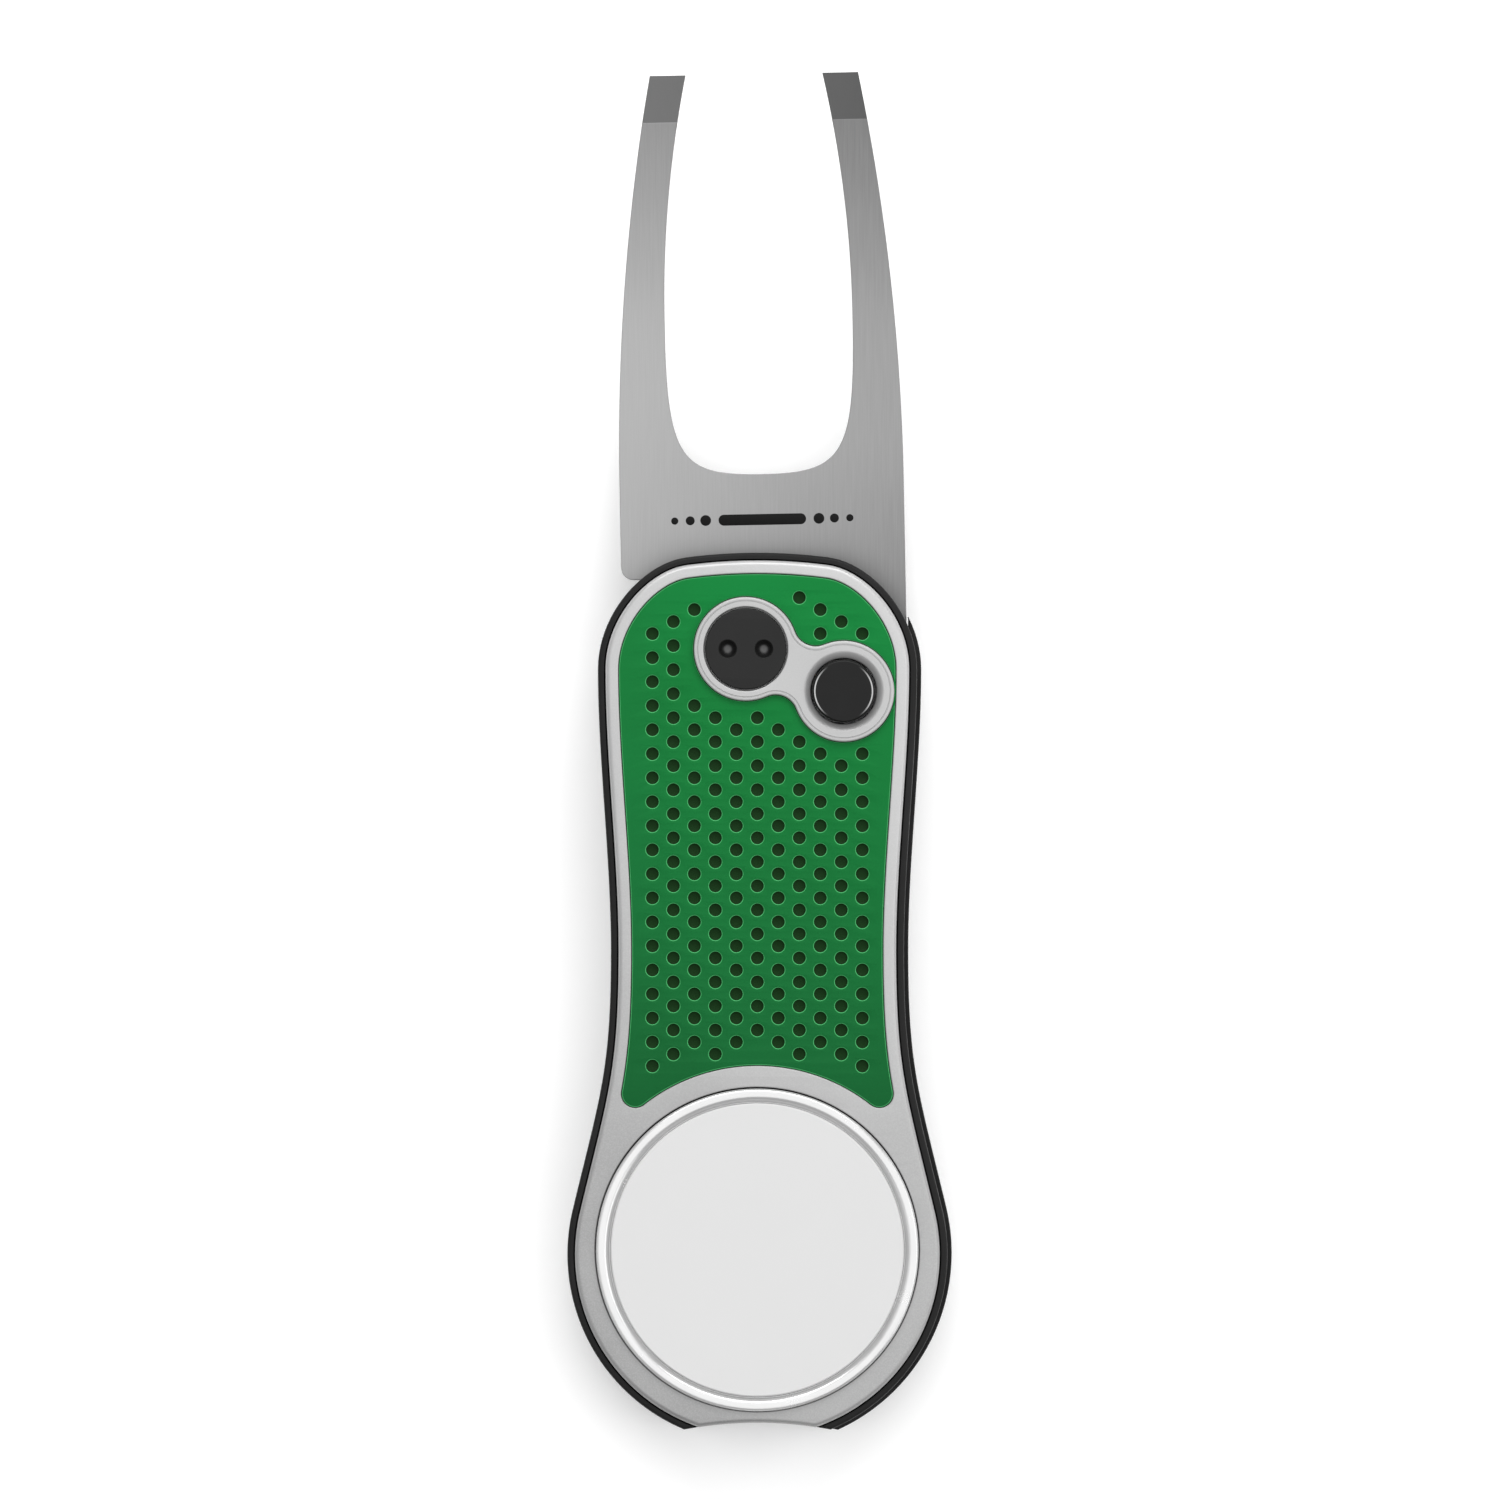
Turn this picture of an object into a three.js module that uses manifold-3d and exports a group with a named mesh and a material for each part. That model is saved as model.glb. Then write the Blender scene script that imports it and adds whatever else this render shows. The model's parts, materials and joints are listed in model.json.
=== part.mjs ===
// Folding divot repair tool with a release button, a ball marker and a pencil sharpener.
// Millimetres. The tool lies on its back: z is up out of the front face, y runs from the ball
// marker towards the fork's tips, and the origin is on the back face under the marker's centre.
import * as THREE from 'three';
import { mergeVertices } from 'three/addons/utils/BufferGeometryUtils.js';
import Module from 'manifold-3d';

const wasm = await Module();
wasm.setup();

// ---- Driving dimensions ----------------------------------------------------------------------

// Body outline, measured at the silver front frame.
const markerRadius = 12.5;
const crownY = 53.38;
const waistHalf = 10.75;
const waistY = 23.2;
const lobeHalf = 11.76;
const lobeBelowCrown = 8.4;
const endRim = 1.63;
const endCentreY = -0.35;
const flareAngle = THREE.MathUtils.degToRad(13.5);
const crownRadius = 42;
const crownHalf = 5.42;
const notchRadius = 30;
const notchDepth = 1.08;

// Heights of the layers.
const backDepth = 4.4;
const frontDepth = 2.45;
const frontLip = 0.6;
const frameThick = 1.3;
const padSunk = 0.12;
const bezelProud = 0.3;
const buttonProud = 0.6;
const markerProud = 0.45;

// Steps between neighbouring outlines.
const casingBand = 0.6;
const lipGap = 0.12;
const spineProud = 0.32;
const frameRim = 1.0;
const padGap = 0.06;
const backEdgeRound = 1.2;
const frontEdgeRound = 0.3;
const frameEdgeRound = 0.25;

// Pivot, its bezel and the release button.
const pivotX = -0.89;
const pivotBelowCrown = 6.85;
const buttonOffset = new THREE.Vector2(7.58, -3.28);
const capRim = 0.89;
const buttonRim = 1.46;
const neckFillet = 1.72;
const capRadius = 3.14;
const capHeadThick = 1.2;
const capGap = 0.16;
const spannerHoleRadius = 0.72;
const spannerHoleSpread = 1.4;
const spannerHoleDepth = 0.8;
const pinRadius = 1.15;
const bushRadius = 2.3;
const runningGap = 0.08;
const looseGap = 0.15;
const nutRadius = 3.1;
const nutThick = 1.1;
const buttonRadius = 2.46;
const buttonThick = 2.6;
const countersink = 0.5;
const stemRadius = 1.3;
const shoulderRadius = 2.2;
const shoulderThick = 1.0;
const buttonTravel = 1.2;
const clipRadius = 2.1;
const clipThick = 0.4;
const clipGroove = 0.35;
const guideThick = 0.4;
const guideRadius = 3.0;
const springFloor = 0.9;
const buttonWire = 0.4;
const buttonCoils = 4;
const returnWire = 0.6;
const returnCoils = 3;
const returnGap = 0.8;
const washerThick = 0.2;
const axialGap = 0.05;
const recessGap = 0.2;

// Fork, measured from the pivot along its own axis.
const forkThick = 1.5;
const forkOver = 0.29;
const forkAxisX = 1.42;
const forkLean = THREE.MathUtils.degToRad(1.1);
const forkBowStart = 13;
const forkBowRadius = 171;
const prongSpread = 7.3;
const prongInnerStart = 26;
const prongInnerRadius = 88;
const crotchHeight = 13.6;
const toeClear = 1.82;
const groundLength = 3.7;
const groundAngle = THREE.MathUtils.degToRad(16);
const forkHeadroom = 1.4;
const foldAngle = THREE.MathUtils.degToRad(182);
const stemGap = 0.36;
const stopGap = 0.53;
const shoulderGap = 0.26;
const forkCorner = 1.1;
const wallClear = 0.3;
const slotWallInset = 0.3;

// Ball marker and its magnet.
const markerGap = 0.2;
const markerLift = 0.05;
const markerRingWidth = 0.75;
const markerGroove = 0.39;
const markerGrooveDepth = 0.55;
const markerFaceSunk = 0.1;
const markerFaceThick = 0.6;
const markerCollar = 1.75;
const padLobe = 1.1;
const magnetRadius = 3;
const magnetThick = 1.5;
const magnetY = 4.2;

// Pencil sharpener in the round end.
const sharpenerHalf = 4.9;
const sharpenerBottom = 0.9;
const sharpenerRoof = 0.5;
const sharpenerEndY = 0.2;
const mouthRadius = 3.7;
const coneAngle = THREE.MathUtils.degToRad(11.5);
const blockGap = 0.1;
const bladeGap = 0.3;
const bladeThick = 0.6;
const bladeWidth = 4.0;
const bladeEndWall = 2.5;
const bladeInset = 1.7;
const bladeBite = 0.35;
const bladeScrewX = 2.7;
const bladeScrewRadius = 0.55;
const bladeScrewHead = 1.3;
const bladeScrewHeadThick = 0.5;
const bladeScrewLength = 1.9;
const shavingsHalf = 3.4;

// Casing screws and the grip pad on the back.
const screwInset = 3.6;
const screwAngle = THREE.MathUtils.degToRad(36);
const screwRadius = 0.8;
const screwHeadRadius = 1.7;
const screwHeadThick = 0.9;
const screwHeadSunk = 0.3;
const screwLength = 7.6;
const backPadInset = 2.4;
const backPadDepth = 1.0;
const backPadSunk = 0.15;
const backPadLow = 9;
const backPadBelowPivot = 8.5;
const backPadCorner = 3;

// ---- Places that follow from them ------------------------------------------------------------

const endRadius = markerRadius + endRim;
const lobeY = crownY - lobeBelowCrown;
const pivot = new THREE.Vector2(pivotX, crownY - pivotBelowCrown);
const button = pivot.clone().add(buttonOffset);
const forkBottom = backDepth + washerThick + axialGap;
const forkTop = forkBottom + forkThick;
const slotTop = forkTop + forkHeadroom;
const trayFloor = slotTop + frontDepth;
const frontTop = trayFloor + frontLip;
const frameTop = trayFloor + frameThick;
const bezelTop = frameTop + bezelProud;
const buttonTop = bezelTop + buttonProud;
const notchCentreY = endCentreY - endRadius + notchDepth - notchRadius;
const mouthY = notchCentreY + notchRadius;
const blockTop = trayFloor - sharpenerRoof;
const coneZ = (sharpenerBottom + blockTop) / 2;
const pivotLobe = capRadius + capRim;
const buttonLobe = buttonRadius + buttonRim;
const forkHalf = waistHalf + forkOver;
const forkTipV = pivot.y - toeClear;
const returnRadius = bushRadius + returnGap + returnWire / 2;
const returnLow = forkTop + axialGap + 0.05 + returnWire / 2;
const returnHigh = returnLow + returnCoils * (returnWire + 0.08);
const recessTop = returnHigh + returnWire / 2 + recessGap;
const recessRadius = returnRadius + returnWire / 2 + 0.7;
const stemReach = buttonOffset.length();
const hubRadius = stemReach - stemRadius - stemGap;
const stopOpenDrop = -buttonOffset.y - stemRadius - stopGap;
const stopClosedRise = stemReach * Math.sin(buttonOffset.angle() - foldAngle) + stemRadius + stopGap;
const bladeLength = sharpenerEndY - mouthY - bladeInset - bladeEndWall;
const backPadTop = pivot.y - backPadBelowPivot;

// ---- Solids ----------------------------------------------------------------------------------

function solid(geometry) {
  const bare = geometry.clone();
  bare.deleteAttribute('normal');
  bare.deleteAttribute('uv');
  const merged = mergeVertices(bare, 1e-4);
  return new wasm.Manifold(new wasm.Mesh({
    numProp: 3,
    vertProperties: Float32Array.from(merged.attributes.position.array),
    triVerts: Uint32Array.from(merged.index.array),
  }));
}

function toGeometry(manifold) {
  const mesh = manifold.getMesh();
  const geometry = new THREE.BufferGeometry();
  geometry.setAttribute('position', new THREE.BufferAttribute(mesh.vertProperties, 3));
  geometry.setIndex(new THREE.BufferAttribute(mesh.triVerts, 1));
  geometry.computeVertexNormals();
  return geometry;
}

// An upright prism of the outline between two heights.
function prism(outline, z0, z1) {
  const shape = new THREE.Shape(outline);
  const geometry = new THREE.ExtrudeGeometry(shape, { depth: z1 - z0, bevelEnabled: false });
  return solid(geometry.translate(0, 0, z0));
}

// A prism whose top or bottom edge is rounded; the other edge stays sharp.
function roundedPrism(outline, z0, z1, round, side) {
  const low = side === 'top' ? z0 - round : z0;
  const high = side === 'top' ? z1 : z1 + round;
  const geometry = new THREE.ExtrudeGeometry(new THREE.Shape(outline), {
    depth: high - low - 2 * round,
    bevelThickness: round,
    bevelSize: round,
    bevelOffset: -round,
    bevelSegments: 2,
  });
  return solid(geometry.translate(0, 0, low + round)).intersect(slab(z0, z1));
}

function box(x0, x1, y0, y1, z0, z1) {
  const geometry = new THREE.BoxGeometry(x1 - x0, y1 - y0, z1 - z0);
  return solid(geometry.translate((x0 + x1) / 2, (y0 + y1) / 2, (z0 + z1) / 2));
}

function slab(z0, z1) {
  return box(-200, 200, -200, 200, z0, z1);
}

function cylinder(centre, radius, z0, z1, segments = 32) {
  const geometry = new THREE.CylinderGeometry(radius, radius, z1 - z0, segments);
  return solid(geometry.rotateX(Math.PI / 2).translate(centre.x, centre.y, (z0 + z1) / 2));
}

// A turned piece: the profile lists radius and height from the axis, round, and back to the axis.
function turned(centre, profile, segments = 32) {
  const points = profile.map(([radius, z]) => new THREE.Vector2(radius, z));
  const geometry = new THREE.LatheGeometry(points, segments);
  return solid(geometry.rotateX(Math.PI / 2).translate(centre.x, centre.y, 0));
}

function ring(centre, inner, outer, z0, z1, segments = 32) {
  const hole = cylinder(centre, inner, z0 - 1, z1 + 1, segments);
  return cylinder(centre, outer, z0, z1, segments).subtract(hole);
}

function arc(centre, radius, from, to, steps) {
  const curve = new THREE.ArcCurve(centre.x, centre.y, radius, from, to, to < from);
  return curve.getPoints(steps);
}

// A round corner between two straight edges.
function corner(before, point, after, radius, steps = 5) {
  const back = before.clone().sub(point).normalize();
  const ahead = after.clone().sub(point).normalize();
  const half = Math.acos(back.dot(ahead)) / 2;
  const reach = radius / Math.tan(half);
  const start = point.clone().addScaledVector(back, reach);
  const end = point.clone().addScaledVector(ahead, reach);
  return new THREE.QuadraticBezierCurve(start, point, end).getPoints(steps);
}

class Helix extends THREE.Curve {
  constructor(radius, coils, z0, z1, leg = 0) {
    super();
    Object.assign(this, { radius, coils, z0, z1, leg });
  }

  // A straight radial leg leaves the last coil where one is asked for.
  getPoint(t, target = new THREE.Vector3()) {
    const turn = Math.min(t / (1 - this.leg), 1);
    const out = this.leg ? Math.max(0, (t - 1 + this.leg) / this.leg) * this.radius * 0.45 : 0;
    const angle = turn * this.coils * 2 * Math.PI;
    const reach = this.radius + out;
    const z = this.z0 + turn * (this.z1 - this.z0);
    return target.set(reach * Math.cos(angle), reach * Math.sin(angle), z);
  }
}

function wire(path, diameter, steps) {
  const section = new THREE.Shape(arc(new THREE.Vector2(), diameter / 2, 0, 2 * Math.PI, 6).slice(1));
  return solid(new THREE.ExtrudeGeometry(section, { steps, extrudePath: path }));
}

// ---- Outlines --------------------------------------------------------------------------------

const origin = new THREE.Vector2(0, 0);
const endCentre = new THREE.Vector2(0, endCentreY);
const flareStart = endCentre.clone().add(
  new THREE.Vector2(Math.cos(flareAngle), Math.sin(flareAngle)).multiplyScalar(endRadius),
);
const flareDirection = new THREE.Vector2(-Math.sin(flareAngle), Math.cos(flareAngle));
const flareReach = (waistY - flareStart.y) * 0.46;

// The right-hand edge from the round end up to the crown.
const endArc = new THREE.ArcCurve(0, endCentreY, endRadius, -Math.PI / 2, flareAngle, false);
const flare = new THREE.CubicBezierCurve(
  flareStart,
  flareStart.clone().addScaledVector(flareDirection, flareReach),
  new THREE.Vector2(waistHalf, waistY - flareReach),
  new THREE.Vector2(waistHalf, waistY),
);
const flank = new THREE.CubicBezierCurve(
  new THREE.Vector2(waistHalf, waistY),
  new THREE.Vector2(waistHalf, waistY + 0.32 * (lobeY - waistY)),
  new THREE.Vector2(lobeHalf, lobeY - 0.32 * (lobeY - waistY)),
  new THREE.Vector2(lobeHalf, lobeY),
);
const crownDrop = crownHalf ** 2 / (2 * crownRadius);
const shoulder = new THREE.CubicBezierCurve(
  new THREE.Vector2(lobeHalf, lobeY),
  new THREE.Vector2(lobeHalf, lobeY + 0.48 * lobeBelowCrown),
  new THREE.Vector2(crownHalf + 3, crownY - crownDrop - 3 * (crownHalf / crownRadius)),
  new THREE.Vector2(crownHalf, crownY - crownDrop),
);
const crownAngle = Math.asin(crownHalf / crownRadius);
const crown = new THREE.ArcCurve(
  0, crownY - crownRadius, crownRadius, Math.PI / 2 - crownAngle, Math.PI / 2, false,
);

function offsetPoint(curve, t, grow) {
  const point = curve.getPoint(t);
  const along = curve.getTangent(t);
  return new THREE.Vector2(point.x + grow * along.y, point.y - grow * along.x);
}

function edge(curve, grow, steps, from = 0) {
  return Array.from({ length: steps }, (_, i) => offsetPoint(curve, from + ((1 - from) * i) / steps, grow));
}

function mirrored(points) {
  return points.map((p) => new THREE.Vector2(-p.x, p.y)).reverse();
}

function upperEdge(grow, flareFrom) {
  return [
    ...edge(flare, grow, 8, flareFrom),
    ...edge(flank, grow, 6),
    ...edge(shoulder, grow, 7),
    ...edge(crown, grow, 2),
  ];
}

// The body's outline, grown outwards by a distance.
function bodyOutline(grow) {
  const lower = edge(endArc, grow, 14);
  const right = [...lower.slice(1), ...upperEdge(grow, 0)];
  return [lower[0], ...right, new THREE.Vector2(0, crownY + grow), ...mirrored(right)];
}

// The grip pad's outline: the body's, cut round the marker's collar with a small lobe each side.
function padOutline(grow) {
  const lobeReach = markerRadius + markerCollar + padLobe;
  let low = 0;
  let high = 1;
  while (high - low > 1e-6) {
    const middle = (low + high) / 2;
    const inside = offsetPoint(flare, middle, -frameRim - padLobe).length() < lobeReach;
    low = inside ? middle : low;
    high = inside ? high : middle;
  }
  const centre = offsetPoint(flare, low, -frameRim - padLobe);
  const touch = offsetPoint(flare, low, -frameRim).sub(centre).angle();
  const inward = centre.angle() - Math.PI;
  const collar = arc(origin, markerRadius + markerCollar - grow, Math.PI / 2, centre.angle(), 12);
  const right = [
    ...collar.slice(1, -1),
    ...arc(centre, padLobe + grow, inward, touch > Math.PI ? touch - 2 * Math.PI : touch, 6).slice(0, -1),
    ...upperEdge(grow - frameRim, low),
  ];
  return [collar[0], ...right, new THREE.Vector2(0, crownY - frameRim + grow), ...mirrored(right)];
}

// Two round lobes joined by a narrow neck: the bezel round the pivot cap and the button.
function bezelOutline(grow) {
  const span = buttonOffset.length();
  const reachA = pivotLobe + neckFillet;
  const reachB = buttonLobe + neckFillet;
  const along = (span ** 2 + reachA ** 2 - reachB ** 2) / (2 * span);
  const across = Math.sqrt(reachA ** 2 - along ** 2);
  const turnA = Math.atan2(across, along);
  const turnB = Math.atan2(across, span - along);
  const near = new THREE.Vector2(0, 0);
  const far = new THREE.Vector2(span, 0);
  const above = new THREE.Vector2(along, across);
  const below = new THREE.Vector2(along, -across);
  const fillet = neckFillet - grow;
  return [
    ...arc(near, pivotLobe + grow, turnA, 2 * Math.PI - turnA, 20).slice(1),
    ...arc(below, fillet, Math.PI - turnA, turnB, 4).slice(1),
    ...arc(far, buttonLobe + grow, turnB - Math.PI, Math.PI - turnB, 20).slice(1),
    ...arc(above, fillet, -turnB, turnA - Math.PI, 4).slice(1),
  ].map((p) => p.rotateAround(origin, buttonOffset.angle()).add(pivot));
}

// ---- Cuts shared by several pieces -----------------------------------------------------------

const notch = cylinder(new THREE.Vector2(0, notchCentreY), notchRadius, -5, 30, 120);
const screwPlaces = [-1, 1].map((side) => new THREE.Vector2(
  side * (endRadius - screwInset) * Math.cos(screwAngle),
  -(endRadius - screwInset) * Math.sin(screwAngle),
));

function screwHoles(radius, z0, z1) {
  return screwPlaces.map((place) => cylinder(place, radius, z0, z1, 20))
    .reduce((all, hole) => all.add(hole));
}

// The room that the sharpener block takes in the casing.
const blockPocket = box(
  -sharpenerHalf - blockGap, sharpenerHalf + blockGap, mouthY - 20, sharpenerEndY + blockGap,
  sharpenerBottom, blockTop + blockGap,
);

// ---- Casing ----------------------------------------------------------------------------------

function frontCasing() {
  return roundedPrism(bodyOutline(casingBand), slotTop, frontTop, frontEdgeRound, 'top')
    .subtract(prism(bodyOutline(lipGap), trayFloor, frontTop + 1))
    .subtract(cylinder(pivot, recessRadius, slotTop - 1, recessTop))
    .subtract(box(
      pivot.x, pivot.x + returnRadius * 1.45 + 0.8, pivot.y - 0.7, pivot.y + 0.7,
      slotTop - 1, recessTop,
    ))
    .subtract(cylinder(pivot, bushRadius + runningGap, slotTop - 1, trayFloor - 0.55))
    .subtract(cylinder(pivot, pinRadius + looseGap, slotTop - 1, trayFloor + 1))
    .subtract(cylinder(button, buttonRadius + looseGap, slotTop - 1, trayFloor + 1))
    .subtract(cylinder(
      new THREE.Vector2(0, magnetY), magnetRadius + looseGap, trayFloor - magnetThick - 0.05, trayFloor + 1,
    ))
    .subtract(blockPocket)
    .subtract(screwHoles(screwRadius + 0.05, slotTop - 1, screwHeadSunk + screwLength + 0.9))
    .subtract(notch);
}

function backPadOutline(grow) {
  const left = -waistHalf + backPadInset - grow;
  const low = backPadLow - grow;
  const high = backPadTop + grow;
  const corners = [[left, low], [-left, low], [-left, high], [left, high]]
    .map(([x, y]) => new THREE.Vector2(x, y));
  return corners.flatMap((point, i) => corner(
    corners[(i + 3) % 4], point, corners[(i + 1) % 4], backPadCorner + grow, 6,
  ));
}

function backCasing() {
  return roundedPrism(bodyOutline(casingBand), 0, backDepth, backEdgeRound, 'bottom')
    .subtract(cylinder(pivot, nutRadius + looseGap, -1, nutThick + 0.2))
    .subtract(cylinder(pivot, pinRadius + looseGap, -1, backDepth + 1))
    .subtract(cylinder(pivot, bushRadius + runningGap, nutThick + 0.5, backDepth + 1))
    .subtract(cylinder(button, clipRadius + 0.25, springFloor, backDepth + 1))
    .subtract(cylinder(button, guideRadius + looseGap, backDepth - guideThick, backDepth + 1))
    .subtract(prism(backPadOutline(padGap), -1, backPadDepth))
    .subtract(screwHoles(screwHeadRadius + looseGap, -1, screwHeadSunk + screwHeadThick))
    .subtract(screwHoles(screwRadius + looseGap, -1, backDepth + 1))
    .subtract(blockPocket)
    .subtract(box(
      -shavingsHalf, bladeWidth + 0.6, mouthY + bladeInset - 0.6,
      mouthY + bladeInset + bladeLength + 0.4, -1, sharpenerBottom + 1,
    ))
    .subtract(notch);
}

// The fork's tips sweep a circle round the pivot, and the spacers stay outside it.
const forkReach = Math.hypot(forkAxisX + tipHalf(), forkTipV) + wallClear;

function spacerRing(grow) {
  const swept = cylinder(pivot, forkReach, 0, 20, 120);
  const inside = prism(bodyOutline(-slotWallInset), 0, 20).intersect(swept);
  const openSide = box(-60, 0, -40, 100, 0, 20).intersect(swept);
  const openFork = box(-60, forkRight() + wallClear, pivot.y - stopOpenDrop - 0.5, 100, 0, 20);
  return prism(bodyOutline(grow), backDepth, slotTop)
    .subtract(inside).subtract(openSide).subtract(openFork)
    .subtract(blockPocket)
    .subtract(screwHoles(screwRadius + looseGap, 0, 20))
    .subtract(notch);
}

function spineSpacer() {
  return spacerRing(casingBand + spineProud).intersect(box(0, 60, -60, 100, 0, 20));
}

function toeSpacer() {
  return spacerRing(casingBand).intersect(box(-60, 0, -60, 100, 0, 20));
}

// ---- Front cover pieces ----------------------------------------------------------------------

function frontFrame() {
  return roundedPrism(bodyOutline(0), trayFloor, frameTop, frameEdgeRound, 'top')
    .subtract(prism(padOutline(0), trayFloor - 1, frameTop + 1))
    .subtract(cylinder(origin, markerRadius + markerGap, trayFloor - 1, frameTop + 1, 48))
    .subtract(notch);
}

function frontGrip() {
  return prism(padOutline(-padGap), trayFloor, frameTop - padSunk)
    .subtract(prism(bezelOutline(padGap), trayFloor - 1, frameTop + 1));
}

function controlBezel() {
  const capSeat = bezelTop - capHeadThick;
  const bore = buttonRadius + runningGap;
  return roundedPrism(bezelOutline(0), trayFloor, bezelTop, 0.2, 'top')
    .intersect(prism(padOutline(-padGap), trayFloor - 1, bezelTop + 1))
    .subtract(cylinder(pivot, capRadius + capGap, capSeat, bezelTop + 1, 40))
    .subtract(cylinder(pivot, pinRadius + looseGap, trayFloor - 1, bezelTop))
    .subtract(cylinder(button, bore, trayFloor - 1, bezelTop + 1, 40))
    .subtract(turned(button, [
      [0, bezelTop - countersink], [bore, bezelTop - countersink], [bore + countersink, bezelTop],
      [bore + countersink, bezelTop + 1], [0, bezelTop + 1],
    ], 40));
}

function markerMagnet() {
  return cylinder(new THREE.Vector2(0, magnetY), magnetRadius, trayFloor - magnetThick, trayFloor);
}

// ---- Pivot -----------------------------------------------------------------------------------

// The cap is the head of the pivot screw, with two blind holes for a pin spanner.
function pivotCap() {
  const seat = bezelTop - capHeadThick;
  const holes = [-1, 1].map((side) => cylinder(
    new THREE.Vector2(pivot.x + side * spannerHoleSpread, pivot.y), spannerHoleRadius,
    bezelTop - spannerHoleDepth, bezelTop + 1, 24,
  ));
  return turned(pivot, [
    [0, 0.5], [pinRadius, 0.5], [pinRadius, seat], [capRadius, seat],
    [capRadius, bezelTop - 0.15], [capRadius - 0.15, bezelTop], [0, bezelTop],
  ], 40).subtract(holes[0]).subtract(holes[1]);
}

function pivotNut() {
  const slotHalf = 0.4;
  return ring(pivot, pinRadius + runningGap, nutRadius, 0.2, nutThick + 0.2)
    .subtract(box(
      pivot.x - nutRadius - 1, pivot.x + nutRadius + 1, pivot.y - slotHalf, pivot.y + slotHalf, 0, 0.7,
    ));
}

function pivotBush() {
  return ring(pivot, pinRadius + runningGap, bushRadius, nutThick + 0.5, trayFloor - 0.55);
}

function backWasher() {
  return ring(pivot, bushRadius + looseGap, hubRadius - 0.6, backDepth, backDepth + washerThick);
}

function thrustRing() {
  const outer = stemReach - shoulderRadius - shoulderGap;
  return ring(pivot, recessRadius, outer, forkTop + axialGap, slotTop);
}

function returnSpring() {
  const path = new Helix(returnRadius, returnCoils, returnLow, returnHigh, 0.07);
  return wire(path, returnWire, 48).translate([pivot.x, pivot.y, 0]);
}

// ---- Fork ------------------------------------------------------------------------------------

function bow(v, start, radius) {
  return Math.max(0, v - start) ** 2 / (2 * radius);
}

function outerHalf(v) {
  return forkHalf - bow(v, forkBowStart, forkBowRadius);
}

function innerHalf(v) {
  return prongSpread - bow(v, prongInnerStart, prongInnerRadius);
}

function tipHalf() {
  return outerHalf(forkTipV);
}

// Fork coordinates, across and along its leaning axis, to places round the pivot.
function leaned(u, v) {
  return new THREE.Vector2(forkAxisX + u, v).rotateAround(new THREE.Vector2(forkAxisX, 0), forkLean);
}

function leanedAt(u, y) {
  return leaned(u, (y - u * Math.sin(forkLean)) / Math.cos(forkLean));
}

function forkRight() {
  return pivot.x + leanedAt(forkHalf, -stopOpenDrop).x;
}

function stations(from, to, steps) {
  return Array.from({ length: steps + 1 }, (_, i) => from + ((to - from) * i) / steps);
}

function forkOutline() {
  const openCorner = leanedAt(forkHalf, -stopOpenDrop);
  const closedCorner = leanedAt(-forkHalf, stopClosedRise);
  const hubOpen = Math.asin(-stopOpenDrop / hubRadius);
  const hubClosed = Math.PI - Math.asin(stopClosedRise / hubRadius);
  const hub = arc(origin, hubRadius, hubClosed, 2 * Math.PI + hubOpen, 30);
  const outer = stations(forkBowStart, forkTipV, 9).map((v) => [outerHalf(v), v]);
  const inner = stations(prongInnerStart, forkTipV, 6).map((v) => [innerHalf(v), v]);
  const crotch = new THREE.CubicBezierCurve(
    new THREE.Vector2(0, crotchHeight),
    new THREE.Vector2(0.85 * prongSpread, crotchHeight),
    new THREE.Vector2(prongSpread, crotchHeight + 1.2),
    new THREE.Vector2(prongSpread, prongInnerStart - 1),
  ).getPoints(12).map((p) => [p.x, p.y]);
  const right = [...outer, ...inner.reverse(), ...crotch.slice(1).reverse()];
  const left = right.map(([u, v]) => [-u, v]).reverse();
  return [
    ...hub,
    ...corner(hub[hub.length - 1], openCorner, leaned(...outer[0]), forkCorner),
    ...right.map(([u, v]) => leaned(u, v)),
    leaned(0, crotchHeight),
    ...left.map(([u, v]) => leaned(u, v)),
    ...corner(leaned(-forkHalf, forkBowStart), closedCorner, hub[0], forkCorner),
  ];
}

// What the grinding wheel takes off the front of both tips: a sloped block above the blade.
function tipGrind() {
  const block = new THREE.BoxGeometry(60, 20, 10).translate(0, 9, 5);
  block.rotateX(-groundAngle).translate(0, forkTipV - groundLength, forkTop);
  return solid(block.rotateZ(forkLean).translate(forkAxisX, 0, 0));
}

function fork() {
  return prism(forkOutline(), forkBottom, forkTop)
    .subtract(tipGrind())
    .subtract(cylinder(origin, bushRadius + runningGap, 0, 20));
}

// ---- Release button --------------------------------------------------------------------------

const buttonBottom = buttonTop - buttonThick;
const clipTop = backDepth - guideThick - axialGap;
const clipBottom = clipTop - clipThick;
const stemBottom = springFloor + buttonTravel + 0.3;

function buttonCap() {
  return turned(origin, [
    [0, buttonBottom], [buttonRadius, buttonBottom], [buttonRadius, buttonTop - 0.4],
    [buttonRadius - 0.08, buttonTop - 0.16], [buttonRadius - 0.3, buttonTop], [0, buttonTop],
  ], 40);
}

function lockStem() {
  const groove = stemRadius - clipGroove;
  const shoulderLow = slotTop + 0.4;
  return turned(origin, [
    [0, stemBottom], [stemRadius, stemBottom], [stemRadius, clipBottom - 0.05],
    [groove, clipBottom - 0.05], [groove, clipTop + 0.05], [stemRadius, clipTop + 0.05],
    [stemRadius, shoulderLow], [shoulderRadius, shoulderLow],
    [shoulderRadius, shoulderLow + shoulderThick], [stemRadius, shoulderLow + shoulderThick],
    [stemRadius, buttonBottom], [0, buttonBottom],
  ]);
}

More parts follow.
